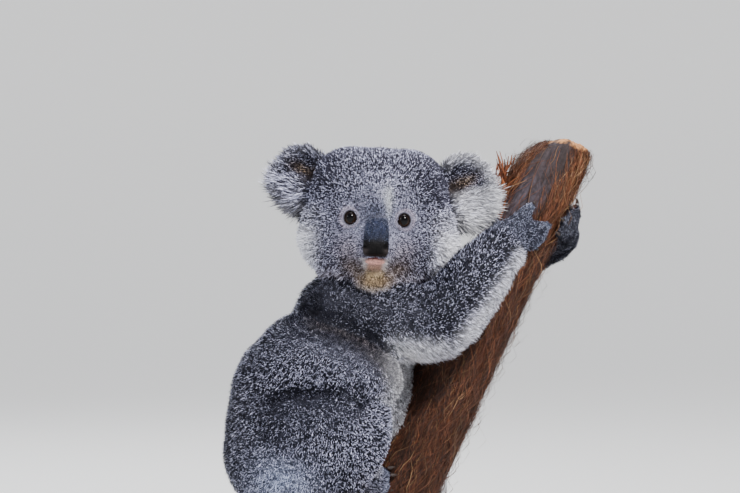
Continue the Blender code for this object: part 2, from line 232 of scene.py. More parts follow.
def waves(points, size, seed, count=9):
    """Smooth noise from about -1 to 1 with features `size` across; size may differ by axis."""
    local = np.random.default_rng(seed)
    ways = unit(local.normal(size=(count, 3)))
    pitch = 2 * np.pi * local.uniform(0.6, 1.5, (count, 1))
    phase = local.uniform(0, 2 * np.pi, count)
    return np.sin(points / size @ (ways * pitch).T + phase).sum(1) / math.sqrt(count)


def triangle_mesh(name, points, triangles):
    mesh = bpy.data.meshes.new(name)
    mesh.vertices.add(len(points))
    mesh.vertices.foreach_set("co", points.astype(np.float32).ravel())
    mesh.loops.add(triangles.size)
    mesh.loops.foreach_set("vertex_index", triangles.astype(np.int32).ravel())
    mesh.polygons.add(len(triangles))
    mesh.polygons.foreach_set("loop_start", np.arange(0, triangles.size, 3, dtype=np.int32))
    mesh.update(calc_edges=True)
    mesh.shade_smooth()
    return mesh


def paint(mesh, name, colours, domain="POINT"):
    rgba = np.ones((len(colours), 4), np.float32)
    rgba[:, :3] = colours
    layer = mesh.color_attributes.new(name, "FLOAT_COLOR", domain)
    layer.data.foreach_set("color", rgba.ravel())


def add_object(name, data):
    made = bpy.data.objects.new(name, data)
    bpy.context.scene.collection.objects.link(made)
    return made


def modified(form):
    """The mesh of an object after its modifiers; the object itself goes."""
    bpy.context.view_layer.update()
    made = bpy.data.meshes.new_from_object(form.evaluated_get(bpy.context.evaluated_depsgraph_get()))
    bpy.data.objects.remove(form)
    return made


@contextmanager
def editing(mesh):
    """A bmesh of a mesh, written back at the end."""
    bm = bmesh.new()
    bm.from_mesh(mesh)
    yield bm
    bm.to_mesh(mesh)
    bm.free()


def turn_outward(mesh, merge=None):
    """Turns all faces outwards, after merging points that are closer than a distance."""
    with editing(mesh) as bm:
        if merge:
            bmesh.ops.remove_doubles(bm, verts=bm.verts, dist=merge)
            bmesh.ops.dissolve_degenerate(bm, dist=LEAST_EDGE, edges=bm.edges)
        bmesh.ops.recalc_face_normals(bm, faces=bm.faces)


def place_object(name, mesh, finish):
    mesh.materials.clear()
    mesh.materials.append(finish)
    return add_object(name, mesh)


def ship(made, slot, *replaced):
    """The piece belongs to the object: it rides on its one body."""
    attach(made, "root")
    if replaced:
        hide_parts(*replaced)


def grid_triangles(rows, columns, closed):
    """Triangles of a grid of points; closed joins its last column to its first."""
    around = columns if closed else columns - 1
    row, column = np.meshgrid(np.arange(rows - 1), np.arange(around), indexing="ij")
    ahead = (column + 1) % columns
    a, b = row * columns + column, row * columns + ahead
    c, d = a + columns, b + columns
    return np.concatenate([np.stack(corners, -1).reshape(-1, 3) for corners in ((a, b, d), (a, d, c))])


# ---------------------------------------------------------------- frames of the head and the perch


def middle(node):
    low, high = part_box(node)
    return np.array((low + high) / 2)


eye_places = {side: middle(f"eye_{side}") for side in SIDES}
HEAD_RIGHT = unit(eye_places["left"] - eye_places["right"])
HEAD_FORWARD = unit(np.array((0, -1, 0)) - HEAD_RIGHT * -HEAD_RIGHT[1])
HEAD_UP = np.cross(HEAD_FORWARD, HEAD_RIGHT)
HEAD_AXES = np.array((HEAD_RIGHT, HEAD_FORWARD, HEAD_UP))
HEAD_ORIGIN = (eye_places["left"] + eye_places["right"]) / 2 - HEAD_FORWARD * EYE_DEPTH_MM * MM


def head_space(points):
    return (points - HEAD_ORIGIN) @ HEAD_AXES.T / MM


def in_head(right, forward, up):
    return HEAD_ORIGIN + np.array((right, forward, up), float) @ HEAD_AXES * MM


FOOT_DEPTH, TOP_DEPTH = 12 * MM, 14 * MM  # points this close to the perch's ends give its axis
LEAST_RADIUS = 20 * MM  # points nearer to the axis lie on the saw cuts


def perch_frame():
    """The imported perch's axis, side way and lower end, its radius there, its taper and its length."""
    points = read_points(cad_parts["perch_trunk"].data)
    rough = unit(np.linalg.svd(points - points.mean(0), full_matrices=False)[2][0])
    rough *= np.sign(rough[2])
    reach = points @ rough
    low, high = reach < reach.min() + FOOT_DEPTH, reach > reach.max() - TOP_DEPTH
    lower, upper = points[low].mean(0), points[high].mean(0)
    axis = unit(upper - lower)
    foot = lower + axis * ((points - lower) @ axis).min()
    side = unit(np.cross(np.array((0, 1, 0)), axis))
    along = (points - foot) @ axis
    radius = np.linalg.norm(points - foot - np.outer(along, axis), axis=1)
    on_bark = radius > LEAST_RADIUS
    slope, start = np.polyfit(along[on_bark], radius[on_bark], 1)
    return axis, side, foot, start / MM, slope, along.max() / MM


PERCH_UP, PERCH_SIDE, PERCH_FOOT, PERCH_START_MM, PERCH_TAPER, PERCH_LENGTH_MM = perch_frame()
PERCH_FRONT = np.cross(PERCH_SIDE, PERCH_UP)


def perch_space(points):
    """(along, angle in radians, off) of points, in millimetres."""
    local = (points - PERCH_FOOT) / MM
    along = local @ PERCH_UP
    front, side = local @ PERCH_FRONT, local @ PERCH_SIDE
    off = np.hypot(front, side) - (PERCH_START_MM + PERCH_TAPER * along)
    return np.stack([along, np.arctan2(side, front), off], -1)


def by_perch(along, angle, off):
    along, angle, off = (np.asarray(value, float) for value in (along, angle, off))
    out = np.cos(angle)[..., None] * PERCH_FRONT + np.sin(angle)[..., None] * PERCH_SIDE
    reach = PERCH_START_MM + PERCH_TAPER * along + off
    return PERCH_FOOT + (along[..., None] * PERCH_UP + reach[..., None] * out) * MM


# ---------------------------------------------------------------- materials

NOISE_RANGE = (0.35, 0.65)  # the values of the noise that make the darkest and the lightest grain
# Painted layer, roughness and shine; the grain's fineness, darkest and lightest factor, and bump in mm
FINISHES = {
    "skin": ("hide", 0.8, 0.3, 900, 0.55, 1.6, 0.5),
    "coat": ("coat", 0.6, 0.3, 500, 0.9, 1.1, 0),
    "nose_leather": ("leather", 0.5, 0.07, 1400, 0.75, 1.25, 0.25),
    "eye": ("iris", 0.04, 0.14, 700, 0.9, 1.1, 0),
    "horn": ("claw", 0.5, 0.2, 600, 0.7, 1.3, 0.1),
    "bark": ("bark", 0.8, 0.25, 260, 0.7, 1.35, 0.4),
    "bark_fibre": ("bark", 0.65, 0.3, 300, 0.75, 1.3, 0),
}


def add_node(tree, kind, **inputs):
    """A shader node with values on its inputs; an underscore stands for a space in an input's name."""
    made = tree.nodes.new(f"ShaderNode{kind}")
    for key, value in inputs.items():
        made.inputs[key.replace("_", " ")].default_value = value
    return made


def plain(tree, colour):
    tone = add_node(tree, "RGB")
    tone.outputs[0].default_value = (*colour, 1)
    return tone.outputs[0]


def nodes_of(name, roughness, specular=0.5, metallic=0.0):
    """A material with a Principled shader."""
    made = bpy.data.materials.new(name)
    made.use_nodes = True
    shader = made.node_tree.nodes["Principled BSDF"]
    shader.inputs["Roughness"].default_value = roughness
    shader.inputs["Specular IOR Level"].default_value = specular
    shader.inputs["Metallic"].default_value = metallic
    return made, made.node_tree, shader


def noise_node(tree, scale, detail=4.0, roughness=0.6, stretch=(1, 1, 1)):
    where = add_node(tree, "TexCoord")
    lay = add_node(tree, "Mapping", Scale=stretch)
    noise = add_node(tree, "TexNoise", Scale=scale, Detail=detail, Roughness=roughness)
    tree.links.new(where.outputs["Object"], lay.inputs["Vector"])
    tree.links.new(lay.outputs["Vector"], noise.inputs["Vector"])
    return noise


def shade_by(tree, shader, colour, noise, darkest, lightest):
    """Base colour: the given colour output, made darker and lighter by the noise."""
    low, high = NOISE_RANGE
    spread = add_node(tree, "MapRange", From_Min=low, From_Max=high, To_Min=darkest, To_Max=lightest)
    scale = add_node(tree, "VectorMath")
    scale.operation = "SCALE"
    tree.links.new(noise.outputs["Fac"], spread.inputs["Value"])
    tree.links.new(colour, scale.inputs[0])
    tree.links.new(spread.outputs["Result"], scale.inputs["Scale"])
    tree.links.new(scale.outputs["Vector"], shader.inputs["Base Color"])


def bump_by(tree, shader, noise, strength, height_mm):
    bump = add_node(tree, "Bump", Strength=strength, Distance=height_mm * MM)
    tree.links.new(noise.outputs["Fac"], bump.inputs["Height"])
    tree.links.new(bump.outputs["Normal"], shader.inputs["Normal"])


def painted_finish(name):
    """A finish whose colour is painted on the mesh, broken up by a fine grain."""
    layer, roughness, specular, grain, darkest, lightest, bump = FINISHES[name]
    made, tree, shader = nodes_of(name, roughness, specular)
    noise = noise_node(tree, grain)
    colour = add_node(tree, "VertexColor")
    colour.layer_name = layer
    shade_by(tree, shader, colour.outputs["Color"], noise, darkest, lightest)
    if bump:
        bump_by(tree, shader, noise, 1.0, bump)
    return made


# ---------------------------------------------------------------- skin

FLESH = ["head", "neck", "trunk"]
FLESH += [f"{part}_{side}" for parts in LIMBS.values() for part in parts for side in SIDES]
EARS = [f"ear_{side}" for side in SIDES]
EAR_PLACES = {"right": (-62.0, -1.0, 31.0), "left": (69.0, -1.0, 26.5)}
EAR_SIZES = {"right": (25.0, 25.5), "left": (26.5, 29.0)}  # half width and half height
EAR_CUP = 10.0
EAR_CURL = 7.0  # how far the upper rim leans forward
EAR_THICKNESS = 2.2
EAR_TURN = math.radians(20)
EAR_LEAN = math.radians(12)

FRINGE_WAY = np.array((0.6, -0.32, -0.74))  # how the pale fringe hangs from the near arm
FRINGE_FROM, FRINGE_FULL = 0.58, 0.86  # how far the skin there faces that way
FRINGE_DEPTH = 4.0
CHEEK_DEPTH = 4.0
BARE_DEPTH = 1.4  # under the short hair of the muzzle and round the eyes: (centre, radii)
BARE_MUZZLE = ((0, 58, -18), (30, 34, 26))
BARE_EYE = ((24, 42, 0), (19, 25, 19))
SINK_STEPS = 8  # the skin sinks to its depth in this many steps
MOUTH_MIDDLE = (0, 56, -34)
FINER_WITHIN = (13.0, 10.5)  # millimetres from the eyes and the mouth; the faces are split once for each
# Where the body's outline is fuller or leaner than the solids': (place, radii, height)
FULLNESS = (
    ((-112, -40, 196), (34, 60, 24), 6.0),
    ((-118, -40, 132), (34, 60, 34), 5.0),
    ((104, -66, 262), (34, 50, 34), -4.0),
    ((-88, -30, 256), (30, 60, 24), -4.0),
    ((66, -60, 326), (34, 44, 24), 6.5),
    ((50, -60, 300), (16, 40, 14), 3.0),
    ((-42, -100, 203), (38, 40, 7), 2.6),
    ((166, 40, 302), (28, 50, 18), -5.0),
)


def grown_solid(node):
    """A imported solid, grown along its normals."""
    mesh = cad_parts[node].data.copy()
    with editing(mesh) as bm:
        bmesh.ops.remove_doubles(bm, verts=bm.verts, dist=MERGE)
        bmesh.ops.recalc_face_normals(bm, faces=bm.faces)
        bm.normal_update()
        for vertex in bm.verts:
            vertex.co += vertex.normal * FLESH_GROWTH
    return mesh


def remeshed(meshes):
    """The outer surface of the meshes together, as one even mesh; they themselves go."""
    bm = bmesh.new()
    for mesh in meshes:
        bm.from_mesh(mesh)
        bpy.data.meshes.remove(mesh)
    whole = bpy.data.meshes.new("form")
    bm.to_mesh(whole)
    bm.free()
    form = add_object("form", whole)
    remesh = form.modifiers.new("join", "REMESH")
    remesh.mode = "VOXEL"
    remesh.voxel_size = SKIN_VOXEL
    made = modified(form)
    keep_largest(made)
    return made


def keep_largest(mesh):
    """Drops every island of a mesh but the one with the most points."""
    a, b = read_edges(mesh).T
    label = np.arange(len(mesh.vertices))
    before = None
    while before is None or (before != label).any():
        before = label.copy()
        low = np.minimum(label[a], label[b])
        np.minimum.at(label, a, low)
        np.minimum.at(label, b, low)
        label = label[label]
    main = np.bincount(label).argmax()
    with editing(mesh) as bm:
        bm.verts.ensure_lookup_table()
        bmesh.ops.delete(bm, geom=[bm.verts[i] for i in np.flatnonzero(label != main)], context="VERTS")


def ear_frame(side):
    """Middle of an ear, and its axes: outward, back and up."""
    sign = 1 if side == "left" else -1
    turn = Matrix.Rotation(sign * EAR_TURN, 3, "Z") @ Matrix.Rotation(-sign * EAR_LEAN, 3, "Y")
    local = np.array(turn).T * np.array((sign, 1, 1))[:, None]
    to_world = np.array((HEAD_RIGHT, -HEAD_FORWARD, HEAD_UP))
    return in_head(*EAR_PLACES[side]), local @ to_world


def ear_space(points, side):
    """(outward, back, up) of points from an ear's middle, in millimetres."""
    place, axes = ear_frame(side)
    return (points - place) @ axes.T / MM


def pinna(side):
    """A thin ear, cupped towards the front."""
    place, axes = ear_frame(side)
    half_width, half_height = EAR_SIZES[side]
    mesh = bpy.data.meshes.new("ear")
    with editing(mesh) as bm:
        bmesh.ops.create_icosphere(bm, subdivisions=5, radius=1)
        for vertex in bm.verts:
            x, y, z = vertex.co
            thick = y + 0.25 * math.copysign(abs(y) ** 0.3, y)
            level = EAR_CUP * (0.55 - x * x - z * z) + EAR_THICKNESS * thick
            level -= EAR_CURL * max(0, z - 0.25) ** 1.5
            vertex.co = place + np.array((x * half_width, level, z * half_height)) @ axes * MM
    return mesh


def node_labels(points):
    """For each point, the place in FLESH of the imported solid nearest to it."""
    corners, faces, owner = [], [], []
    for number, node in enumerate(FLESH):
        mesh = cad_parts[node].data
        start = sum(len(block) for block in corners)
        corners.append(read_points(mesh))
        triangles = read_triangles(mesh)
        faces.append(triangles + start)
        owner.append(np.full(len(triangles), number))
    tree = BVHTree.FromPolygons(np.concatenate(corners).tolist(), np.concatenate(faces).tolist())
    owner = np.concatenate(owner)
    return np.array([owner[tree.find_nearest(Vector(point))[2]] for point in points])


def kind_of(node):
    return node.removesuffix("_right").removesuffix("_left")


def coat_measure(labels, measure):
    """One of the coat's measures at each label."""
    column = COAT_MEASURES.index(measure)
    return np.array([COAT[kind_of(node)][column] for node in FLESH], float)[labels]


def claws_of(*limbs):
    """The claws' nodes on the limbs whose names start like this."""
    starts = tuple(f"claw_{limb}" for limb in limbs)
    return [node for node in sorted(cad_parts) if node.startswith(starts)]


def centre_of(node):
    return read_points(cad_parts[node].data).mean(0)


def below_arms(normal, labels):
    """1 along the lower edge of the near arm, fading to 0 at its middle."""
    total = np.zeros(len(normal))
    stops = [centre_of(f"{part}_right") for part in LIMBS["arm"]]
    for part, start, end in zip(LIMBS["arm"][:2], stops, stops[1:]):
        axis = unit(end - start)
        down = unit(FRINGE_WAY - axis * (FRINGE_WAY @ axis))
        total += (labels == FLESH.index(f"{part}_right")) * step(normal @ down, FRINGE_FROM, FRINGE_FULL)
    return total


def coat_depth(points, normal, labels, edges):
    """How deep the skin lies inside the coat's outline, in millimetres."""
    depth = coat_measure(labels, "depth")
    depth = depth + FRINGE_DEPTH * below_arms(normal, labels)
    for place, radii, height in FULLNESS:
        depth = depth - height * spot(points / MM, place, radii)
    head = head_space(points)
    on_face = (labels == FLESH.index("head")) * 1.0
    cheeks = step(abs(head[:, 0]), 40, 56) * step(-head[:, 2], -8, 8) * (1 - step(-head[:, 2], 44, 56))
    depth = depth + CHEEK_DEPTH * on_face * cheeks
    bare = spot(head, *BARE_MUZZLE)
    for sign in (-1, 1):
        bare = np.maximum(bare, mirrored(head, BARE_EYE, sign))
    depth = depth + (BARE_DEPTH - depth) * on_face * step(bare, 0.05, 0.6)
    return smoothed(depth, edges, 14)


def skin_mesh():
    mesh = remeshed([grown_solid(node) for node in (*FLESH, "nose", "eye_right", "eye_left")])
    points, triangles, edges = read_points(mesh), read_triangles(mesh), read_edges(mesh)
    labels = node_labels(points)
    paws = np.isin(labels, [n for n, node in enumerate(FLESH) if kind_of(node) in ("hand", "foot")]) * 1.0
    points = mix(smoothed(points, edges, 6, 0.5), smoothed(points, edges, 2, 0.5), smoothed(paws, edges, 3))
    depth = coat_depth(points, normals_of(points, triangles), labels, edges) * MM
    for _ in range(SINK_STEPS):
        points = points - normals_of(points, triangles) * (depth / SINK_STEPS)[:, None]
        points = smoothed(points, edges, 1, 0.35)
    write_points(mesh, points)
    mesh = remeshed([mesh, *(pinna(side) for side in SIDES)])
    refine(mesh)
    points, triangles, edges = read_points(mesh), read_triangles(mesh), read_edges(mesh)
    points = sculpted(smoothed(points, edges, 3, 0.5), triangles)
    write_points(mesh, points)
    return mesh, points, triangles, edges


def refine(mesh):
    """Finer faces round the eyes and the mouth."""
    with editing(mesh) as bm:
        for reach in FINER_WITHIN:
            chosen = []
            for edge in bm.edges:
                place = head_space(np.array((edge.verts[0].co + edge.verts[1].co) / 2))
                to_eye = min(np.linalg.norm(place - (sign * 22, EYE_DEPTH_MM + 3, -1)) for sign in (-1, 1))
                to_mouth = np.linalg.norm((place - MOUTH_MIDDLE) * (0.62, 0.7, 1.0))
                if min(to_eye, to_mouth) < reach:
                    chosen.append(edge)
            bmesh.ops.subdivide_edges(bm, edges=chosen, cuts=1, use_grid_fill=True)
        bmesh.ops.triangulate(bm, faces=[face for face in bm.faces if len(face.verts) > 4])


# ---------------------------------------------------------------- face

EYE_OUTWARD = math.radians(5)
EYE_SHIFT = (-1.6, 0.0, -1.2)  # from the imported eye: away from the nose, ahead and up
EYE_OPENING = (4.7, 5.5)  # half width and half height
EYE_CORNER = math.radians(197)  # the opening runs out a little towards the nose and down
BEHIND_EYE = 0.9  # how far the skin under the eyeball's face lies inside it
LID_WIDTH = 1.7
LID_STEP, LID_ROUND = 0.15, 0.85  # how far the lid's edge stands over the eyeball, and rises from there
CREASE_DEPTH, BAG_HEIGHT = 0.5, 0.35  # the crease round the eye and the bag under it
LID_REACH = 12.5
# Forms of the mouth: (centre, radii)
LOWER_LIP = ((0, 54, -37.5), (8.5, 14, 3.4))
CHIN_HOLLOW = ((0, 52, -44.5), (12, 14, 3.0))
LIP_PAD = ((13, 55, -29), (6, 16, 6))
SLIT_UP, SLIT_BEND, SLIT_HALF = -33.2, 0.022, 18


def eye_frame(side):
    """Middle of an eyeball, its radius in millimetres, and its axes: away from the nose, ahead and up."""
    sign = 1 if side == "left" else -1
    low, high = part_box(f"eye_{side}")
    radius = max(high - low) / 2 / MM
    ahead = HEAD_FORWARD * math.cos(EYE_OUTWARD) + HEAD_RIGHT * sign * math.sin(EYE_OUTWARD)
    away = unit(HEAD_RIGHT * sign - ahead * (HEAD_RIGHT * sign @ ahead))
    axes = np.array((away, ahead, HEAD_UP))
    return eye_places[side] + np.array(EYE_SHIFT) @ axes * MM, radius, axes


def eye_space(points, side):
    place, _, axes = eye_frame(side)
    return (points - place) @ axes.T / MM


def opening_edge(away, up):
    """Distance of the lids' edge from the eye's middle in this direction, in millimetres."""
    angle = np.arctan2(up, away)
    oval = 1 / np.sqrt((np.cos(angle) / EYE_OPENING[0]) ** 2 + (np.sin(angle) / EYE_OPENING[1]) ** 2)
    return oval + 0.5 * ridge(turned(angle, EYE_CORNER), 0, 0.28)


def lid_gap(local):
    """How far points in the eye's space lie outside the lids' edge, seen from the front."""
    return np.hypot(local[:, 0], local[:, 2]) - opening_edge(local[:, 0], local[:, 2])


def with_lids(points):
    """The skin laid over both eyeballs, with a lid's rim round each opening."""
    for side in SIDES:
        _, radius, axes = eye_frame(side)
        local = eye_space(points, side)
        spread = np.hypot(local[:, 0], local[:, 2])
        edge = opening_edge(local[:, 0], local[:, 2])
        rim = np.sqrt(radius**2 - edge**2)
        ball = np.sqrt(np.maximum(radius**2 - spread**2, 0)) - BEHIND_EYE
        bend = np.clip((spread - edge) / LID_WIDTH, 0, 1)
        lid = rim + LID_STEP + LID_ROUND * np.sqrt(1 - (1 - bend) ** 2)
        crease = -CREASE_DEPTH * ridge(spread - edge, 3.0, 0.8)
        bag = BAG_HEIGHT * ridge(spread - edge, 4.6, 1.2) * (local[:, 2] < 0)
        far = step(spread, edge + LID_WIDTH, LID_REACH)
        outside = lid + crease + bag + (local[:, 1] - lid) * far
        level = np.where(spread < edge, ball, outside)
        near = (spread < LID_REACH) & (local[:, 1] > 0)
        points = points + np.outer(np.where(near, level - local[:, 1], 0) * MM, axes[1])
    return points


def sculpted(points, triangles):
    """The face's finer forms: lips, the mouth's slit, the pads above it and the lids."""
    head = head_space(points)
    normal = normals_of(points, triangles)
    right, forward, up = head.T
    lip = 1.7 * spot(head, *LOWER_LIP)
    chin = -0.7 * spot(head, *CHIN_HOLLOW)
    slit = -1.7 * ridge(up, SLIT_UP - SLIT_BEND * right**2, 0.9) * step(SLIT_HALF - abs(right), 0, 6)
    pads = sum(1.2 * mirrored(head, LIP_PAD, sign) for sign in (-1, 1))
    parting = -0.7 * ridge(right, 0, 1.2) * ridge(up, -32, 3.0)
    height = (lip + chin + slit + pads + parting) * step(forward, 30, 40) * MM
    return with_lids(points + normal * height[:, None])


# ---------------------------------------------------------------- lay of the coat and its markings

# No coat grows where a ray out of the skin, from this far off it and over this length, meets more skin
COVER_FROM = 1.2 * MM
COVER_WITHIN = 4.5 * MM
HAIR_WAYS = {"trunk": np.array((-0.33, 0.0, -0.94)), "neck": np.array((-0.3, 0.0, -0.95))}
ARM_HANG = (0, 0, -0.35)
FACE_WHORL = (0, 74, -12)  # the head's hair spreads from here
EAR_WHORL = (-22, 0, -4)  # and the ears' hair from here, as (outward, back, up)

# Marks on the body: (centre, radii) in millimetres
# the shoulders under the head, which get painted shade
SHADED_SHOULDERS = (((-20, -60, 262), (62, 70, 32)), ((-45, 20, 262), (50, 60, 40)))
BACK = ((-122, -20, 160), (44, 60, 66))
# the lower rump, which gets painted bluish light
SKYLIT_RUMP = ((-72, -80, 132), (25, 40, 20))
ARMPIT = ((25, -80, 231), (17, 60, 16))
FAR_ARM_RUFF = ((62, -60, 322), (34, 44, 24))
# painted light lifting the shade on the flank and under its bulge
FLANK_FILL_LIGHT = (  # how much lighter, centre, radii
    (0.12, (-32, -100, 178), (50, 50, 24)),
    (0.19, (-36, -90, 238), (40, 50, 24)),
    (0.07, (-66, -95, 184), (34, 50, 14)),
)
FLANK_RIGHT, FLANK_UP = -60, 170  # middle of the flank's round edge
FLANK_REACH, FLANK_OVAL = 90, 1.05
CREASE_RIGHT, CREASE_UP, CREASE_SLOPE = -30, 208.5, 0.17  # the crease over the thigh

# Marks on the head: (centre, radii); the first three of the face have a twin on the other side
TEMPLES = (((-46, 20, 33), (10, 40, 22)), ((48, 20, 33), (15, 40, 22)))
FACE_MARKS = {
    "beside the chin": ((20, 50, -41), (12, 30, 9)),
    "jowl": ((34, 44, -38), (14, 40, 12)),
    "muzzle": ((23, 50, -26), (11, 30, 10)),
    "chin": ((0, 46, -50), (15, 40, 9)),
    "beard": ((0, 46, -61), (26, 40, 6)),
    "streak": ((8.6, 44, 9), (2.4, 40, 8.0)),
    "upper streak": ((7, 44, 19), (4.5, 40, 7)),
    "brow": ((-4, 44, 28), (18, 40, 10)),
    "bridge": ((-1, 50, 4), (9.5, 40, 8)),
    "lip": ((0, 55, -36.9), (10.5, 20, 2.6)),
    "slit": ((0, 55, -33.6), (9.5, 20, 1.0)),
}
RING_RIGHT, RING_UP, RING_REACH = 22.4, -1.2, 7.2
EAR_PALE = {"right": (0.18, 0.08), "left": (0.8, 0.75)}  # how white the rim and the lower inner side are
# the ear's hollow under the fold, which gets painted shade
EAR_HOLLOW_SHADE = ((-11, 0), (11, 6.0))  # (outward, up) and radii


class Surface:
    """The skin's mesh and what is known at each of its points."""

    def __init__(self, points, triangles, edges):
        self.points, self.triangles, self.edges = points, triangles, edges
        self.normal = normals_of(points, triangles)
        self.labels = node_labels(points)
        self.head = head_space(points)
        self.on_head = self.even((self.labels == FLESH.index("head")) * 1.0, 4)
        # hollows of the skin, where the coat gets painted shade
        hollow = ((smoothed(points, edges, 30) - points) * self.normal).sum(1) / MM
        self.crease = step(hollow, 0.12, 0.8)
        self.covered = self.even(self.find_covered() * 1.0, 2)
        self.fringe = self.even(below_arms(self.normal, self.labels), 5)

    def even(self, values, passes):
        return smoothed(values, self.edges, passes)

    def of_nodes(self, *nodes):
        return np.isin(self.labels, [FLESH.index(node) for node in nodes]) * 1.0

    def find_covered(self):
        """Points with more skin close in front of them, where no coat shows."""
        tree = BVHTree.FromPolygons(self.points.tolist(), self.triangles.tolist())
        start = self.points + self.normal * COVER_FROM
        hits = [tree.ray_cast(Vector(a), Vector(b), COVER_WITHIN)[0] for a, b in zip(start, self.normal)]
        return np.array([hit is not None for hit in hits])


def lay_of_coat(skin):
    """The way the hair lies at each point of the skin."""
    points, normal = skin.points, skin.normal
    ways = dict(HAIR_WAYS)
    for parts in LIMBS.values():
        for side in SIDES:
            upper, lower, paw = (centre_of(f"{part}_{side}") for part in parts)
            tips = np.mean([centre_of(node) for node in claws_of(f"{parts[2]}_{side}")], axis=0)
            for part, way in zip(parts, (lower - upper, paw - lower, tips - paw)):
                ways[f"{part}_{side}"] = unit(way)
    for side in SIDES:
        ways[f"thigh_{side}"] = unit(ways[f"thigh_{side}"] + 1.4 * ways["trunk"])
    flow = np.array([ways.get(node, np.zeros(3)) for node in FLESH])[skin.labels]
    arms = np.isin(skin.labels, [n for n, node in enumerate(FLESH) if "arm" in node])
    flow[arms] += ARM_HANG
    flow += FRINGE_WAY * (2.2 * skin.fringe)[:, None]
    flow = mix(flow, unit(points - in_head(*FACE_WHORL)), skin.on_head > 0.5)
    for side in SIDES:
        on_ear, local = ear_mask(points, side)
        _, axes = ear_frame(side)
        radial = unit((local - EAR_WHORL) * (1, 0, 0.8)) @ axes
        flow = mix(flow, radial, on_ear)
    flow = unit(skin.even(flow, 16))
    return unit(flow - normal * (flow * normal).sum(1)[:, None])


def ear_reach(local, side):
    """0 at an ear's middle and 1 at its edge."""
    half_width, half_height = EAR_SIZES[side]
    return np.hypot(local[:, 0] / half_width, local[:, 2] / half_height)


def ear_mask(points, side):
    """1 on an ear, 0 off it, and the points in the ear's own space."""
    local = ear_space(points, side)
    out = step(local[:, 0], -17, -9)
    return out * (ear_reach(local, side) < 1.2) * (abs(local[:, 1]) < 17), local


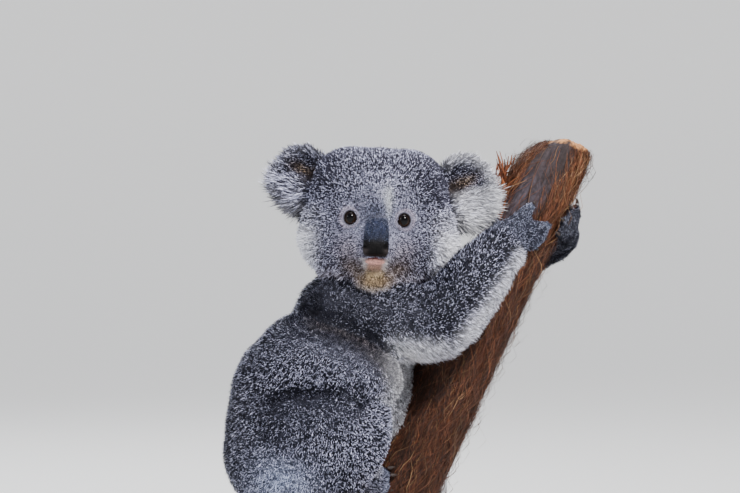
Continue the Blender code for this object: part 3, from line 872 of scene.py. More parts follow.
class Markings:
    """What the coat is like at each point of the skin: sizes, colours and how many tufts."""

    def __init__(self, skin):
        self.skin = skin
        count = len(skin.points)
        self.length, self.number, self.lift, self.light, self.width = (
            skin.even(coat_measure(skin.labels, measure), passes)
            for measure, passes in (("length", 6), ("number", 6), ("lift", 8), ("light", 14), ("width", 8))
        )
        self.width *= TUFT_WIDTH_MM
        self.long = np.zeros(count)
        self.tip = np.tile(TIP_LIGHT, (count, 1))
        self.dark = np.tile(TIP_DARK, (count, 1))
        self.bare = np.zeros(count)
        self.bare_colour = np.tile(LID, (count, 1))
        self.mark_body()
        self.mark_head()
        for side in SIDES:
            self.mark_ear(side)
        self.front = skin.on_head * step(skin.head[:, 1], 26, 38)
        for sign in (-1, 1):
            self.mark_cheek(sign)
        self.mark_chin()
        self.mark_bridge()
        self.mark_bare()
        mottle = 0.025 * waves(skin.points, 8 * MM, 7) + 0.025 * waves(skin.points, 22 * MM, 8)
        self.light += mottle * (1 - 0.5 * skin.on_head)
        # painted shade in the body's creases and hollows
        self.light = np.clip(self.light - 0.2 * skin.crease * (1 - skin.on_head), 0.02, 0.98)
        self.number *= 1 - 0.85 * skin.covered

    def dye(self, share, tip=None, dark=None):
        """Draws the light tips and the dark tips towards colours."""
        if tip is not None:
            self.tip = mix(self.tip, tip, share)
        if dark is not None:
            self.dark = mix(self.dark, dark, share)

    def tint(self, colour, share, light):
        """Draws the light hairs towards a colour, and the number of light hairs towards a share."""
        self.dye(share, colour)
        self.dye(share * 0.7, dark=mix(colour, FUR_ROOT, 0.5))
        draw_to(self.light, light, share)

    def mark_body(self):
        skin = self.skin
        place = skin.points / MM
        near = step(-place[:, 1], 10, 40)
        body = skin.of_nodes("trunk", "neck", "thigh_right")
        # painted shade darkens the shoulders under the head, and the back is an even brownish grey
        shoulder = np.minimum(sum(spot(place, *form) for form in SHADED_SHOULDERS), 1)
        self.light -= 0.06 * shoulder
        self.dye(0.5 * shoulder, SHADED_SHOULDER_TIP)
        self.dye(0.8 * spot(place, *BACK), *BACK_TIPS)
        # painted bluish light pales the lower rump
        self.tint(RUMP_SKYLIGHT, spot(place, *SKYLIT_RUMP), 0.8)
        # the flank ends in a round brownish edge over the shoulder and the pale armpit; painted light
        # brightens a band inside the edge, and a painted shadow darkens a narrow band outside it
        out = np.hypot((place[:, 0] - FLANK_RIGHT) / FLANK_OVAL, place[:, 2] - FLANK_UP)
        upper_right = near * step(place[:, 0], -62, -40) * step(place[:, 2], 196, 216) * (1 - skin.on_head)
        self.dye(0.6 * (upper_right * body * ridge(out, FLANK_REACH, 7)), FLANK_EDGE)
        self.light += 0.2 * upper_right * body * step(out, 66, 78) * (1 - step(out, 92, 98))
        self.light -= 0.16 * upper_right * ridge(out, FLANK_REACH + 11, 4.5)
        armpit = near * spot(place, *ARMPIT) * step(out, 99, 104)
        self.tint(WHITE, np.minimum(1, 1.4 * armpit), 0.95)
        self.long = np.maximum(self.long, 0.8 * armpit)
        # pale wavy locks end in a crease over the thigh, darkened with painted shade
        line = place[:, 2] - CREASE_UP - CREASE_SLOPE * (place[:, 0] - CREASE_RIGHT)
        line = line + 2.2 * waves(skin.points, 12 * MM, 9)
        beside = near * body * np.exp(-(((place[:, 0] - CREASE_RIGHT) / 38) ** 4))
        self.light -= 0.05 * beside * ridge(line, 0, 3.4)
        self.light += 0.14 * beside * ridge(line, 8, 4.5)
        # painted light on the flank's shaded parts
        for gain, *form in FLANK_FILL_LIGHT:
            self.light += gain * near * spot(place, *form)
        chest = skin.of_nodes("trunk", "neck") * step(skin.normal[:, 0], 0.2, 0.8)
        chest = chest * step(place[:, 0], -20, 20)
        self.tint(WHITE, 0.85 * skin.even(chest, 5), 0.9)
        near_hand, far_hand = (skin.even(skin.of_nodes(f"hand_{side}"), 8) for side in SIDES)
        self.dye(0.9 * near_hand, *NEAR_HAND_TIPS)
        # the far hand gets darker tips as painted shade, and a few more light ones
        self.light += 0.12 * far_hand
        self.dye(0.9 * far_hand, *SHADED_FAR_HAND_TIPS)
        claws = [middle(node) for node in claws_of("foot", "hand_right")]
        to_claw = np.min([np.linalg.norm(skin.points - claw, axis=1) for claw in claws], axis=0) / MM
        self.tint(FINGER_TIP, 0.4 * (1 - step(to_claw, 6, 14)), 0.5)
        edge = np.minimum(skin.fringe, 1)
        self.tint(WHITE, 0.68 * edge, 0.62)
        self.length += 4.0 * edge
        self.lift -= 0.3 * edge
        self.long = np.maximum(self.long, edge)
        self.length += 2.5 * spot(place, *FAR_ARM_RUFF)

    def mark_head(self):
        skin, on_head = self.skin, self.skin.on_head
        wide, up = abs(skin.head[:, 0]), skin.head[:, 2]
        from_nose = np.linalg.norm((skin.head - (0, 58, -14)) * (1, 0.8, 1), axis=1)
        grown = step(from_nose, 14, 66)
        self.width *= 1 - 0.05 * on_head
        draw_to(self.length, 1.9 + 3.6 * grown, on_head)
        draw_to(self.number, 2.7 - 1.2 * grown, on_head)
        draw_to(self.lift, 0.5 + 0.65 * grown, on_head)
        draw_to(self.light, 0.29 + 0.25 * (1 - grown) - 0.06 * step(up, 28, 52), on_head)
        self.dye(0.5 * on_head, dark=HEAD_DARK)
        # the temples are dark, the cheeks' edge long and pale
        self.light -= 0.2 * (on_head * sum(spot(skin.head, *form) for form in TEMPLES))
        cheek = on_head * step(wide, 40, 56) * step(-up, 4, 20)
        self.length += 2.0 * cheek
        self.lift -= 0.25 * cheek
        self.tint(WHITE, 0.85 * cheek, 0.9)
        beside = on_head * step(wide, 36, 60) * step(-up, -14, 4)
        self.tint(WHITE, 0.35 * beside, 0.65)
        jaw = on_head * step(-up, 34, 50) * step(wide, 12, 26) * (1 - step(wide, 36, 52))
        self.tint(TAN, 0.35 * jaw, 0.42)
        self.long = np.maximum(self.long, 0.6 * np.maximum(cheek, jaw))

    def mark_ear(self, side):
        skin = self.skin
        on_ear, local = ear_mask(skin.points, side)
        _, axes = ear_frame(side)
        out, _, up = local.T
        rim = on_ear * step(ear_reach(local, side), 0.66, 0.95)
        draw_to(self.length, 5.0 + 2.2 * rim, on_ear)
        draw_to(self.number, 1.3, on_ear)
        draw_to(self.lift, 0.75 - 0.35 * rim, on_ear)
        # the inner side faces ahead; its lower part and the rim are pale, on the left ear above all
        inner = on_ear * step(-skin.normal @ axes[1], 0.0, 0.5)
        low = on_ear * step(-up, -3, 5)
        pale_rim, pale_low = EAR_PALE[side]
        self.tint(WHITE, pale_rim * rim, 0.6)
        self.tint(WHITE, pale_low * low * np.maximum(inner, rim), 0.6)
        self.light -= 0.3 * low * rim * step(-up, 10, 20)
        self.length += 5.5 * low * np.maximum(inner, rim)
        self.long = np.maximum(self.long, np.maximum(0.8 * rim, low * inner))
        # a golden fold over the hollow, which is darkened with painted shade
        fold = inner * ridge(up - 6, 0.2 * out, 6.0) * (1 - step(out, 7, 20))
        self.dye(0.9 * fold, GOLD)
        self.dye(0.75 * fold, dark=UMBER)
        self.light += 0.14 * fold
        hollow = inner * spot(local[:, (0, 2)], *EAR_HOLLOW_SHADE)
        self.light -= 0.7 * hollow
        self.length -= 3.0 * hollow

    def face_spot(self, name, sign=1):
        """One of the face's marks, or its mirror image where sign is -1."""
        return self.front * mirrored(self.skin.head, FACE_MARKS[name], sign)

    def mark_cheek(self, sign):
        """The pale ring round an eye, and the marks beside the mouth."""
        right, _, up = self.skin.head.T
        away = np.hypot(right - sign * RING_RIGHT, (up - RING_UP) / 1.1)
        ring = self.front * ridge(away, RING_REACH, 1.0)
        self.tint(RIM_OF_EYE, 0.6 * ring, 0.85)
        self.length -= 0.9 * ring
        beside_chin = self.face_spot("beside the chin", sign)
        self.dye(0.8 * beside_chin, TAN)
        self.dye(0.9 * beside_chin, dark=UMBER)
        self.light -= 0.12 * beside_chin
        self.light -= 0.1 * self.face_spot("jowl", sign)
        self.dye(0.5 * self.face_spot("muzzle", sign), MUZZLE_TIP)

    def mark_chin(self):
        """The lower lip, the pale band under it, and the tan chin."""
        right, _, up = self.skin.head.T
        reach = abs(right) / (12.4 + 0.5 * (up + 34))
        muzzle_end = self.front * (1 - step(reach, 0.8, 1.1))
        mouth = muzzle_end * step(-up, 32.5, 34.5) * (1 - step(-up, 41.5, 45))
        edge = step(reach, 0.45, 0.85)
        lip = mix(LIP, mix(WHITE, PINK, 0.2), edge)
        self.dye(mouth, lip, lip * 0.75)
        draw_to(self.light, 0.8 + 0.2 * edge, mouth)
        self.length -= 1.0 * mouth
        chin = self.face_spot("chin")
        self.dye(np.minimum(1, 1.15 * chin), *CHIN_TIPS)
        draw_to(self.light, 0.6, chin)
        under_lip = muzzle_end * step(-up, 41.5, 44.5) * (1 - step(-up, 46, 49))
        self.tint(UNDER_LIP, 0.9 * under_lip, 1.0)
        self.dye(0.9 * under_lip, dark=UNDER_LIP_DARK)
        self.length += 2.0 * chin
        self.tint(CREAM, 0.7 * self.face_spot("beard"), 0.7)

    def mark_bridge(self):
        """A white streak beside the bridge, a pale brow and the dark bridge of the nose."""
        streak = self.face_spot("streak") + 0.6 * self.face_spot("upper streak")
        self.tint(STREAK, np.minimum(1, streak), 0.95)
        self.light += 0.12 * self.face_spot("brow")
        bridge = self.face_spot("bridge")
        self.light -= 0.22 * bridge
        self.dye(0.8 * bridge, *BRIDGE_TIPS)

    def mark_bare(self):
        """Naked skin: the lip, the mouth's slit and the lids."""
        self.bare_spot(self.front * (spot(self.skin.head, *FACE_MARKS["lip"]) > 0.5), PINK)
        self.bare_spot(self.front * (spot(self.skin.head, *FACE_MARKS["slit"]) > 0.37), MOUTH_RED)
        for side in SIDES:
            local = eye_space(self.skin.points, side)
            self.bare_spot(self.front * (lid_gap(local) < 1.0) * (local[:, 1] > 0), LID)

    def bare_spot(self, mask, colour):
        self.bare = np.maximum(self.bare, mask)
        self.bare_colour = mix(self.bare_colour, colour, np.asarray(mask, float))

    def skin_colour(self):
        under = mix(FUR_ROOT, mix(self.dark, self.tip, 0.3 * self.light), 0.6)
        return mix(under, self.bare_colour, self.skin.even(self.bare, 2))


# ---------------------------------------------------------------- tufts

FINE_STATIONS = (0.0, 0.77, 1.0)
LONG_STATIONS = (0.0, 0.42, 0.74, 1.0)
BARK_GAP = 1.5  # no hair is rooted closer to the bark than this
DOWN_INSET = 0.8  # the nose's down starts this far inside its outline


class Tufts:
    """Blades of hair on a surface, thin at the root and the tip; stations are their bends, from 0 to 1."""

    def __init__(self, name, stations, at, sway, pull, curl):
        """Grows one tuft at each root. `at` holds the roots and what the coat is like there."""
        self.name, self.stations, self.places = name, stations, at["place"]
        count = len(at["roots"])
        normal, flow = unit(at["normal"]), unit(at["flow"])
        turn = rng.normal(0, sway, count) + 0.35 * waves(at["roots"], 8 * MM, 5)
        side = np.cross(normal, flow)
        way = unit(flow * np.cos(turn)[:, None] + side * np.sin(turn)[:, None])
        side = unit(np.cross(normal, way))
        length = (at["length"] * rng.uniform(0.72, 1.22, count) * MM)[:, None]
        lift = at["lift"] * (1 + 0.15 * waves(at["roots"], 7 * MM, 6)) + rng.normal(0, 0.14, count)
        group, draws = self.clumps(at["roots"])
        spine = [at["roots"] - normal * 0.5 * MM]
        for low, high in zip(self.stations, self.stations[1:]):
            angle = np.clip(lift * (1 + curl * (0.5 - low)), 0.06, 1.5)[:, None]
            spine.append(spine[-1] + (way * np.cos(angle) + normal * np.sin(angle)) * length * (high - low))
        number = np.bincount(group)
        mean = np.stack([np.bincount(group, spine[-1][:, axis]) / number for axis in range(3)], 1)
        drawn = (mean[group] - spine[-1]) * pull
        spine = [line + drawn * share**2 for line, share in zip(spine, self.stations)]
        roll = rng.normal(0, 0.5, count)[:, None]
        across = side * np.cos(roll) + normal * np.sin(roll)
        half = (at["width"] * rng.uniform(0.75, 1.25, count) * MM / 2)[:, None]
        rails = [spine[0]]
        for line, share in zip(spine[1:-1], self.stations[1:]):
            taper = 0.75 + 0.55 * share - 0.35 * share**2
            rails += [line - across * half * taper, line + across * half * taper]
        self.points = np.stack([*rails, spine[-1]], 1)
        self.shades = self.bands(group, draws, at["light"], at["length"], at["tip"], at["dark"])

    def bands(self, group, draws, light, length, tip, dark):
        """Colours at the two ends of each stretch of a hair: dark below, with a light or a dark tip.

        The light tip takes up more of a short hair.
        """
        count, groups = len(light), len(draws)
        draw = np.where(rng.random(count) < CLUMP_SHARE, draws[group], rng.random(count))
        is_light = (draw < light)[:, None]
        glow = rng.uniform(0.8, 1.15, groups)[group, None] * rng.uniform(0.88, 1.1, count)[:, None]
        pale = step(light, 0.72, 1.0)[:, None]
        end = np.where(is_light, tip, dark) * glow
        short = step(-length, -4.5, -2.0)[:, None]
        tipped = np.maximum(0.1 + 0.6 * pale, 0.65 * short)
        body = dark + (tip - dark) * np.where(is_light, tipped, 0.3 * pale)
        foot = mix(FUR_ROOT, body, 0.5)
        stops = [(foot, body)] + [(mix(body, end, 0.3), mix(body, end, 0.8))] * (len(self.stations) - 3)
        return np.stack([np.stack(pair, 1) for pair in (*stops, (end, end))], 1)

    @staticmethod
    def clumps(roots):
        """A number for each root, shared by the roots of the same small cell, and a draw for each cell."""
        size = CLUMP_MM * MM
        cells = np.floor(roots / size + 0.35 * np.sin(roots[:, (1, 2, 0)] / size * 2.1)).astype(np.int64)
        cells, group = np.unique(cells, axis=0, return_inverse=True)
        return group.ravel(), (cells @ EVEN_STEPS + rng.normal(0, 0.06, len(cells))) % 1.0

    def pieces(self, finish):
        """Makes the tufts as objects, each spread over the whole body."""
        last = len(self.stations) - 2
        pattern, stretch = [(0, 1, 2), (2 * last - 1, 2 * last, 2 * last + 1)], [0, last]
        for k in range(1, last):
            pattern += [(2 * k - 1, 2 * k, 2 * k + 2), (2 * k - 1, 2 * k + 2, 2 * k + 1)]
            stretch += [k, k]
        pattern, stretch = np.array(pattern), np.array(stretch)[:, None]
        corners = 2 * last + 2
        end = (pattern + 1) // 2 - stretch
        sides = [(x, share) for share in self.stations[1:-1] for x in (0, 1)]
        patch = np.array([(0.5, 0), *sides, (0.5, 1)])
        order = rng.permutation(len(self.points))
        shares = np.array_split(order, math.ceil(len(order) * len(pattern) / PIECE_TRIANGLES))
        for number, chosen in enumerate(shares, 1):
            name = f"{self.name}_{number}"
            triangles = (np.arange(len(chosen))[:, None, None] * corners + pattern).reshape(-1, 3)
            mesh = triangle_mesh(name, self.points[chosen].reshape(-1, 3), triangles)
            paint(mesh, "coat", self.shades[chosen][:, stretch, end].reshape(-1, 3), "CORNER")
            spots = np.clip(self.places[chosen], PATCH, 1 - PATCH)[:, None, :] + (patch - 0.5) * PATCH
            layer = mesh.uv_layers.new(name="OFBake")
            layer.data.foreach_set("uv", spots.reshape(-1, 2)[triangles.ravel()].astype(np.float32).ravel())
            ship(place_object(name, mesh, finish), "coat_grey")


def unwrap(skin):
    """Unwraps the skin onto the OFBake map and returns the map's place for each triangle's corners."""
    mesh = skin.data
    mesh.uv_layers.new(name="OFBake")
    bpy.context.view_layer.objects.active = skin
    skin.select_set(True)
    bpy.ops.object.mode_set(mode="EDIT")
    bpy.ops.mesh.select_all(action="SELECT")
    bpy.ops.uv.smart_project(angle_limit=math.radians(66), island_margin=0.002)
    bpy.ops.object.mode_set(mode="OBJECT")
    skin.select_set(False)
    corners = read_from(mesh.uv_layers["OFBake"].data, "uv", 2, np.float32)
    return corners[read_triangles(mesh, "loops")].astype(float)


def lift_to_pad(at, head, on_pad):
    """Moves the roots that lie behind the nose's upper half onto it, as very short dark down, tinted blue as
    a painted sky reflection.
    """
    place = head[on_pad]
    place[:, 1] = nose_front(place[:, 0], place[:, 2]) - 0.15
    at["roots"][on_pad] = HEAD_ORIGIN + place @ HEAD_AXES * MM
    at["normal"][on_pad] = unit(HEAD_FORWARD + HEAD_RIGHT * (place[:, :1] / 14) + HEAD_UP * 0.2)
    at["flow"][on_pad] = -HEAD_UP + HEAD_RIGHT * (place[:, :1] / 20)
    own = 0.3 * step(place[:, 2], -12, -2)
    for name, value in DOWN.items():
        at[name][on_pad] = mix(value, at[name][on_pad], own if np.size(value) == 3 else 0)


def scatter(skin, fields, density, maps, count):
    """Random roots on the skin, with its fields there; density says how many at each point."""
    corners = skin.points[skin.triangles]
    area = np.linalg.norm(np.cross(corners[:, 1] - corners[:, 0], corners[:, 2] - corners[:, 0]), axis=1)
    off_bark = perch_space(corners.mean(1))[:, 2] > BARK_GAP
    weight = density[skin.triangles].mean(1) * area * off_bark
    chosen = rng.choice(len(weight), count, p=weight / weight.sum())
    share = rng.dirichlet((1, 1, 1), count)
    at = {"place": (maps[chosen] * share[..., None]).sum(1)}
    for name, values in fields.items():
        picked = values[skin.triangles[chosen]]
        at[name] = (picked * (share if picked.ndim == 2 else share[..., None])).sum(1)
    head = head_space(at["roots"])
    on_pad = nose_clearance(head) <= -DOWN_INSET
    clear = ~(on_pad & (step(-head[:, 2], 8, 22) > rng.random(len(head))))
    lift_to_pad(at, head, on_pad)
    for side in SIDES:
        local = eye_space(at["roots"], side)
        clear &= (lid_gap(local) > 1.5) | (local[:, 1] < 0)
    return {name: values[clear] for name, values in at.items()}


def grow_coat(skin, flow, marks, maps, finish):
    fields = {"roots": skin.points, "normal": skin.normal, "flow": flow, "length": marks.length}
    fields |= {"width": marks.width, "lift": marks.lift, "light": marks.light}
    fields |= {"tip": marks.tip, "dark": marks.dark}
    hairy = marks.bare < 0.5
    at = scatter(skin, fields, marks.number * hairy, maps, FINE_TUFTS)
    Tufts("coat_fine", FINE_STATIONS, at, sway=0.35, pull=0.2, curl=0.3).pieces(finish)
    at = scatter(skin, fields, (marks.long**1.5 + 0.012) * marks.number * hairy, maps, LONG_TUFTS)
    at["length"] *= 1.35
    at["lift"] *= 0.8
    Tufts("coat_long", LONG_STATIONS, at, sway=0.25, pull=0.5, curl=0.8).pieces(finish)


# ---------------------------------------------------------------- nose, eyes and claws

NOSE_TOP = 1.5
NOSE_FOOT = -32.5
# (share of the way down, millimetres): half the nose's width, and how far ahead its face lies
NOSE_WIDTHS = ((0.0, 6.4), (0.08, 8.8), (0.3, 10.0), (0.6, 10.5), (0.84, 10.8), (0.95, 10.2), (1.0, 8.6))
NOSE_FRONTS = ((0.0, 52.0), (0.1, 56.0), (0.4, 62.0), (0.7, 66.0), (0.85, 65.6), (0.95, 63.0), (1.0, 60.0))
NOSE_DEEP = 9.0
NOSE_BOW = 2.6
NOSE_GRID = (90, 96)
NOSTRIL_DEPTH, WING_HEIGHT, PARTING_DEPTH, GRAIN_HEIGHT = 3.2, 0.7, 0.6, 0.12
# Forms of the nose's face: (strength, (right, up), radii), each with a twin on the other side
NOSTRIL = ((1.0, (8.6, -24.5), (2.1, 1.5)), (0.8, (10.4, -22.5), (1.6, 1.2)))
NOSE_WING = (1.0, (8.8, -28.0), (2.6, 1.8))
# where the painted sheen lies
NOSE_SHINE = (1.0, (9.5, -28.5), (3.0, 3.0))
NOSE_BLACK = srgb(11, 10, 11)
# the upper half's blue, a painted reflection of the sky
NOSE_SKY_REFLECTION = srgb(34, 40, 62)
# a painted sheen on the nose's lower sides
NOSE_SHEEN = srgb(58, 52, 52)
NOSTRIL_BLACK = srgb(8, 7, 8)
EYE_GRID = (72, 72)
PUPIL_SIZE = (2.9, 4.2)  # half width and half height
IRIS_BROWN = srgb(22, 14, 11)
IRIS_LIGHT = srgb(52, 36, 26)
PUPIL = srgb(4, 3, 4)
EYE_EDGE = srgb(8, 6, 7)
HORN = srgb(46, 38, 36)
# The down on the nose's upper half, as the coat's own measures; its blue tint is a painted sky reflection
DOWN = {"length": 1.5, "width": 0.5, "lift": 0.9, "light": 0.4}
DOWN |= {"tip": srgb(108, 117, 146), "dark": srgb(24, 26, 38)}


def along_table(table, share):
    stops, values = zip(*table)
    return np.interp(share, stops, values)


def nose_front(right, up):
    """How far ahead the nose's face lies there."""
    share = np.clip((NOSE_TOP - up) / (NOSE_TOP - NOSE_FOOT), 0, 1)
    across = np.clip(abs(right) / along_table(NOSE_WIDTHS, share), 0, 1)
    bow = abs(np.arcsin(across) * 2 / np.pi) ** NOSE_BOW
    return along_table(NOSE_FRONTS, share) - NOSE_DEEP * (1 - np.sqrt(1 - bow))


def nose_clearance(head):
    """How far a point of the head lies outside the nose's outline seen from the front, in millimetres."""
    share = np.clip((NOSE_TOP - head[:, 2]) / (NOSE_TOP - NOSE_FOOT), 0, 1)
    beside = abs(head[:, 0]) - along_table(NOSE_WIDTHS, share)
    beyond = np.maximum(head[:, 2] - NOSE_TOP, NOSE_FOOT - head[:, 2])
    return np.where(head[:, 1] < 38, 9.0, np.maximum(beside, beyond))


def nose_spots(face, strength, place, radii):
    right, up = place
    return sum(strength * spot(face[:, (0, 2)], (sign * right, up), radii) for sign in (-1, 1))


def nose_piece(finish):
    """The leathery pad of the nose: a bowed shield with a nostril curling in on each side."""
    rows, columns = NOSE_GRID
    t, s = np.meshgrid(np.linspace(0, 1, rows), np.linspace(-1, 1, columns), indexing="ij")
    width, front = along_table(NOSE_WIDTHS, t), along_table(NOSE_FRONTS, t)
    for _ in range(60):
        for field in (width, front):
            field[1:-1] += 0.5 * ((field[:-2] + field[2:]) / 2 - field[1:-1])
    right = width * np.sin(s * np.pi / 2)
    forward = front - NOSE_DEEP * (1 - np.sqrt(np.maximum(1 - abs(s) ** NOSE_BOW, 0)))
    forward -= 5.0 * np.exp(-np.minimum(t, 1 - t) * rows / 2.5)
    up = NOSE_TOP + (NOSE_FOOT - NOSE_TOP) * t
    face = np.stack([right, forward, up], -1).reshape(-1, 3)
    hole = sum(nose_spots(face, *form) for form in NOSTRIL)
    parting = ridge(face[:, 0], 0, 0.7) * step(-face[:, 2], 22, 29)
    wing = nose_spots(face, *NOSE_WING)
    face[:, 1] += -NOSTRIL_DEPTH * np.minimum(hole, 1.2) + WING_HEIGHT * wing - PARTING_DEPTH * parting
    face[:, 1] += GRAIN_HEIGHT * waves(face, 1.6, 31)
    back = face * (0.96, 0, 0.96) + (0, 1, 0) * np.minimum(face[:, 1:2] - 7.5, 54)
    # the two faces, and a band between their rims
    grid = np.arange(rows * columns).reshape(rows, columns)
    rim = np.concatenate([grid[0], grid[1:, -1], grid[-1, -2::-1], grid[-2:0:-1, 0]])
    after, offset = np.roll(rim, -1), rows * columns
    band = ((after + offset, after, rim), (rim + offset, after + offset, rim))
    band = [np.stack(corners, 1) for corners in band]
    front_faces = grid_triangles(rows, columns, False)
    triangles = np.concatenate([front_faces, front_faces[:, ::-1] + offset, *band])
    both = np.concatenate([face, back])
    mesh = triangle_mesh("nose_pad", HEAD_ORIGIN + both @ HEAD_AXES * MM, triangles)
    turn_outward(mesh)
    # the upper half turns blue: a painted reflection of the sky
    colour = mix(NOSE_BLACK, NOSE_SKY_REFLECTION, 0.85 * step(face[:, 2], -22, -10))
    # painted sheen on the lower sides
    colour = mix(colour, NOSE_SHEEN, 0.7 * nose_spots(face, *NOSE_SHINE))
    colour = mix(colour, NOSTRIL_BLACK, np.minimum(hole, 1))
    paint(mesh, "leather", np.concatenate([colour, colour]))
    ship(place_object("nose_pad", mesh, finish), "nose_leather", "nose")


def eye_piece(side, finish):
    """An eyeball with a slight cornea, a brown iris and an upright pupil."""
    place, radius, axes = eye_frame(side)
    rows, columns = EYE_GRID
    turns = np.arange(columns) * 2 * np.pi / columns
    polar, turn = np.meshgrid(np.linspace(0, np.pi, rows), turns, indexing="ij")
    polar = polar**1.25 / np.pi**0.25
    spread = np.sin(polar) * radius
    local = np.stack([spread * np.cos(turn), np.cos(polar) * radius, spread * np.sin(turn)], -1)
    local = local.reshape(-1, 3)
    cornea = np.exp(-((spread.ravel() / 4.6) ** 4)) * (local[:, 1] > 0)
    local[:, 1] += 0.45 * cornea
    mesh = triangle_mesh(f"eyeball_{side}", place + local @ axes * MM, grid_triangles(rows, columns, True))
    turn_outward(mesh, 0.005 * MM)
    local = (read_points(mesh) - place) @ axes.T / MM
    reach = np.hypot(local[:, 0], local[:, 2])
    angle = np.arctan2(local[:, 2], local[:, 0])
    iris = mix(IRIS_BROWN, IRIS_LIGHT, step(-local[:, 2], 0, 5) * 0.8)
    iris = iris * (1 + 0.18 * np.sin(angle * 34) * np.sin(reach * 3.0))[:, None]
    half_width, half_height = PUPIL_SIZE
    pupil = 1 - step(np.hypot(local[:, 0] / half_width, local[:, 2] / half_height), 0.9, 1.08)
    colour = mix(iris, PUPIL, pupil)
    paint(mesh, "iris", mix(colour, EYE_EDGE, step(reach, 4.2, 5.2)))
    ship(place_object(f"eyeball_{side}", mesh, finish), "eye", f"eye_{side}")


def claw_piece(node, finish):
    """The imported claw, rounded."""
    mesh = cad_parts[node].data.copy()
    with editing(mesh) as bm:
        bmesh.ops.remove_doubles(bm, verts=bm.verts, dist=MERGE)
    form = add_object("form", mesh)
    form.modifiers.new("round", "SUBSURF").levels = 2
    fine = modified(form)
    fine.shade_smooth()
    paint(fine, "claw", np.tile(HORN, (len(fine.vertices), 1)))
    ship(place_object(f"horn_{node}", fine, finish), "claw", node)


# ---------------------------------------------------------------- perch

BARK_ROWS = 260
BARK_COLUMNS = 128
CUT_RINGS = 16
FIBRES = 13_500  # in each of the two layers
STRANDS = 5_200
RIM_FIBRES = 1_500
FIBRE_STEPS = 4
# Length and width of the fibres, how far they bow out, how much they tangle and curl, and a seed
FIBRE_KINDS = {
    "bark_fibres_1": (34, 0.46, 0.5, 0.14, 0.02, 1),
    "bark_fibres_2": (24, 0.36, 1.5, 0.4, 0.1, 2),
    "bark_strands": (32, 0.42, 2.8, 0.45, 0.22, 3),
    "bark_rim": (13, 0.6, 0.7, 0.25, 0.0, 4),
    "bark_tatters": (22, 1.7, 1.6, 0.25, 0.25, 5),
    "bark_ruff": (22, 1.7, 1.6, 0.25, 0.25, 5),
}
TATTERS = 46  # loose strips in each of two bunches on the left
# Where they start from and up to, the angle round the perch, and how far they stand off
TATTER_PLACES = {"bark_tatters": (314, 338, -1.5, 16), "bark_ruff": (286, 308, -1.3, 7)}
ORANGE_SPOTS = (((316, -1.0), (26, 0.6)), ((345, 0.85), (50, 0.3)))  # (along, angle) and radii
TOP_ROUND = (26.0, 13.0, 3.5)  # the worn top: how far down, and how much is gone at the left and right
DOME = 5.0
STRIP_ANGLE = math.radians(-4)  # middle of the bare wood near the top
STRIP_TWIST = math.radians(0.3)  # how far it turns for each millimetre
CUT_RISE = 3.8  # how much higher up the perch the saw cut is on the right
BARK_RED = srgb(122, 66, 46)
BARK_ORANGE = srgb(190, 116, 74)
BARK_DARK = srgb(34, 21, 18)
BARK_TAN = srgb(222, 172, 122)
WOOD_GREY = srgb(58, 51, 57)
WOOD_DARK = srgb(40, 31, 29)
WOOD_PALE = srgb(176, 124, 80)


def round_perch(along, angle, squeeze):
    """Places for noise that runs round the perch, drawn out along it."""
    return np.stack([np.cos(angle) * 30, np.sin(angle) * 30, along * squeeze], -1)


def cut_at(angle):
    """How far up the perch the saw cut lies, round its edge."""
    chipped = -3.0 * step(-np.sin(angle), 0.35, 1.0)
    ragged = 0.7 * np.sin(5 * angle + 1) + 0.4 * np.sin(11 * angle)
    return PERCH_LENGTH_MM - 1.0 + CUT_RISE * np.sin(angle) + ragged + chipped


def stripped(along, angle):
    """1 where the bark has come off near the top, on the front; 0 elsewhere."""
    middle_angle = STRIP_ANGLE - STRIP_TWIST * (380 - along) + 0.1 * np.sin(along / 11)
    half = 0.68 + 0.12 * step(along, 320, 380) + 0.08 * np.sin(along / 6.5 + 2)
    across = abs(turned(angle, middle_angle))
    return (1 - step(across, half * 0.82, half * 1.15)) * step(along, 284, 304)


def bark_level(along, angle):
    """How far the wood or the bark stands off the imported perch's mean radius, in millimetres."""
    way = round_perch(along, angle, 0.12)
    furrow = -abs(waves(way, 8.0, 41)) * 1.0 - abs(waves(way, 3.4, 42)) * 0.6
    fine = waves(way * (1, 1, 2.0), 1.7, 43) * 0.3
    bare = stripped(along, angle)
    smooth = -2.6 + 0.6 * waves(way, 8.0, 44) + 0.15 * waves(way * (1, 1, 0.6), 1.6, 45)
    rough = furrow + fine - 0.6
    reach, left, right = TOP_ROUND
    worn = np.clip((along - cut_at(angle) + reach) / reach, 0, 1)
    on_right = np.sin(angle)
    worn = left * step(-on_right, -0.1, 0.9) * worn**1.7 + right * step(on_right, -0.1, 0.9) * worn**2.4
    return rough + (smooth - rough) * bare - worn


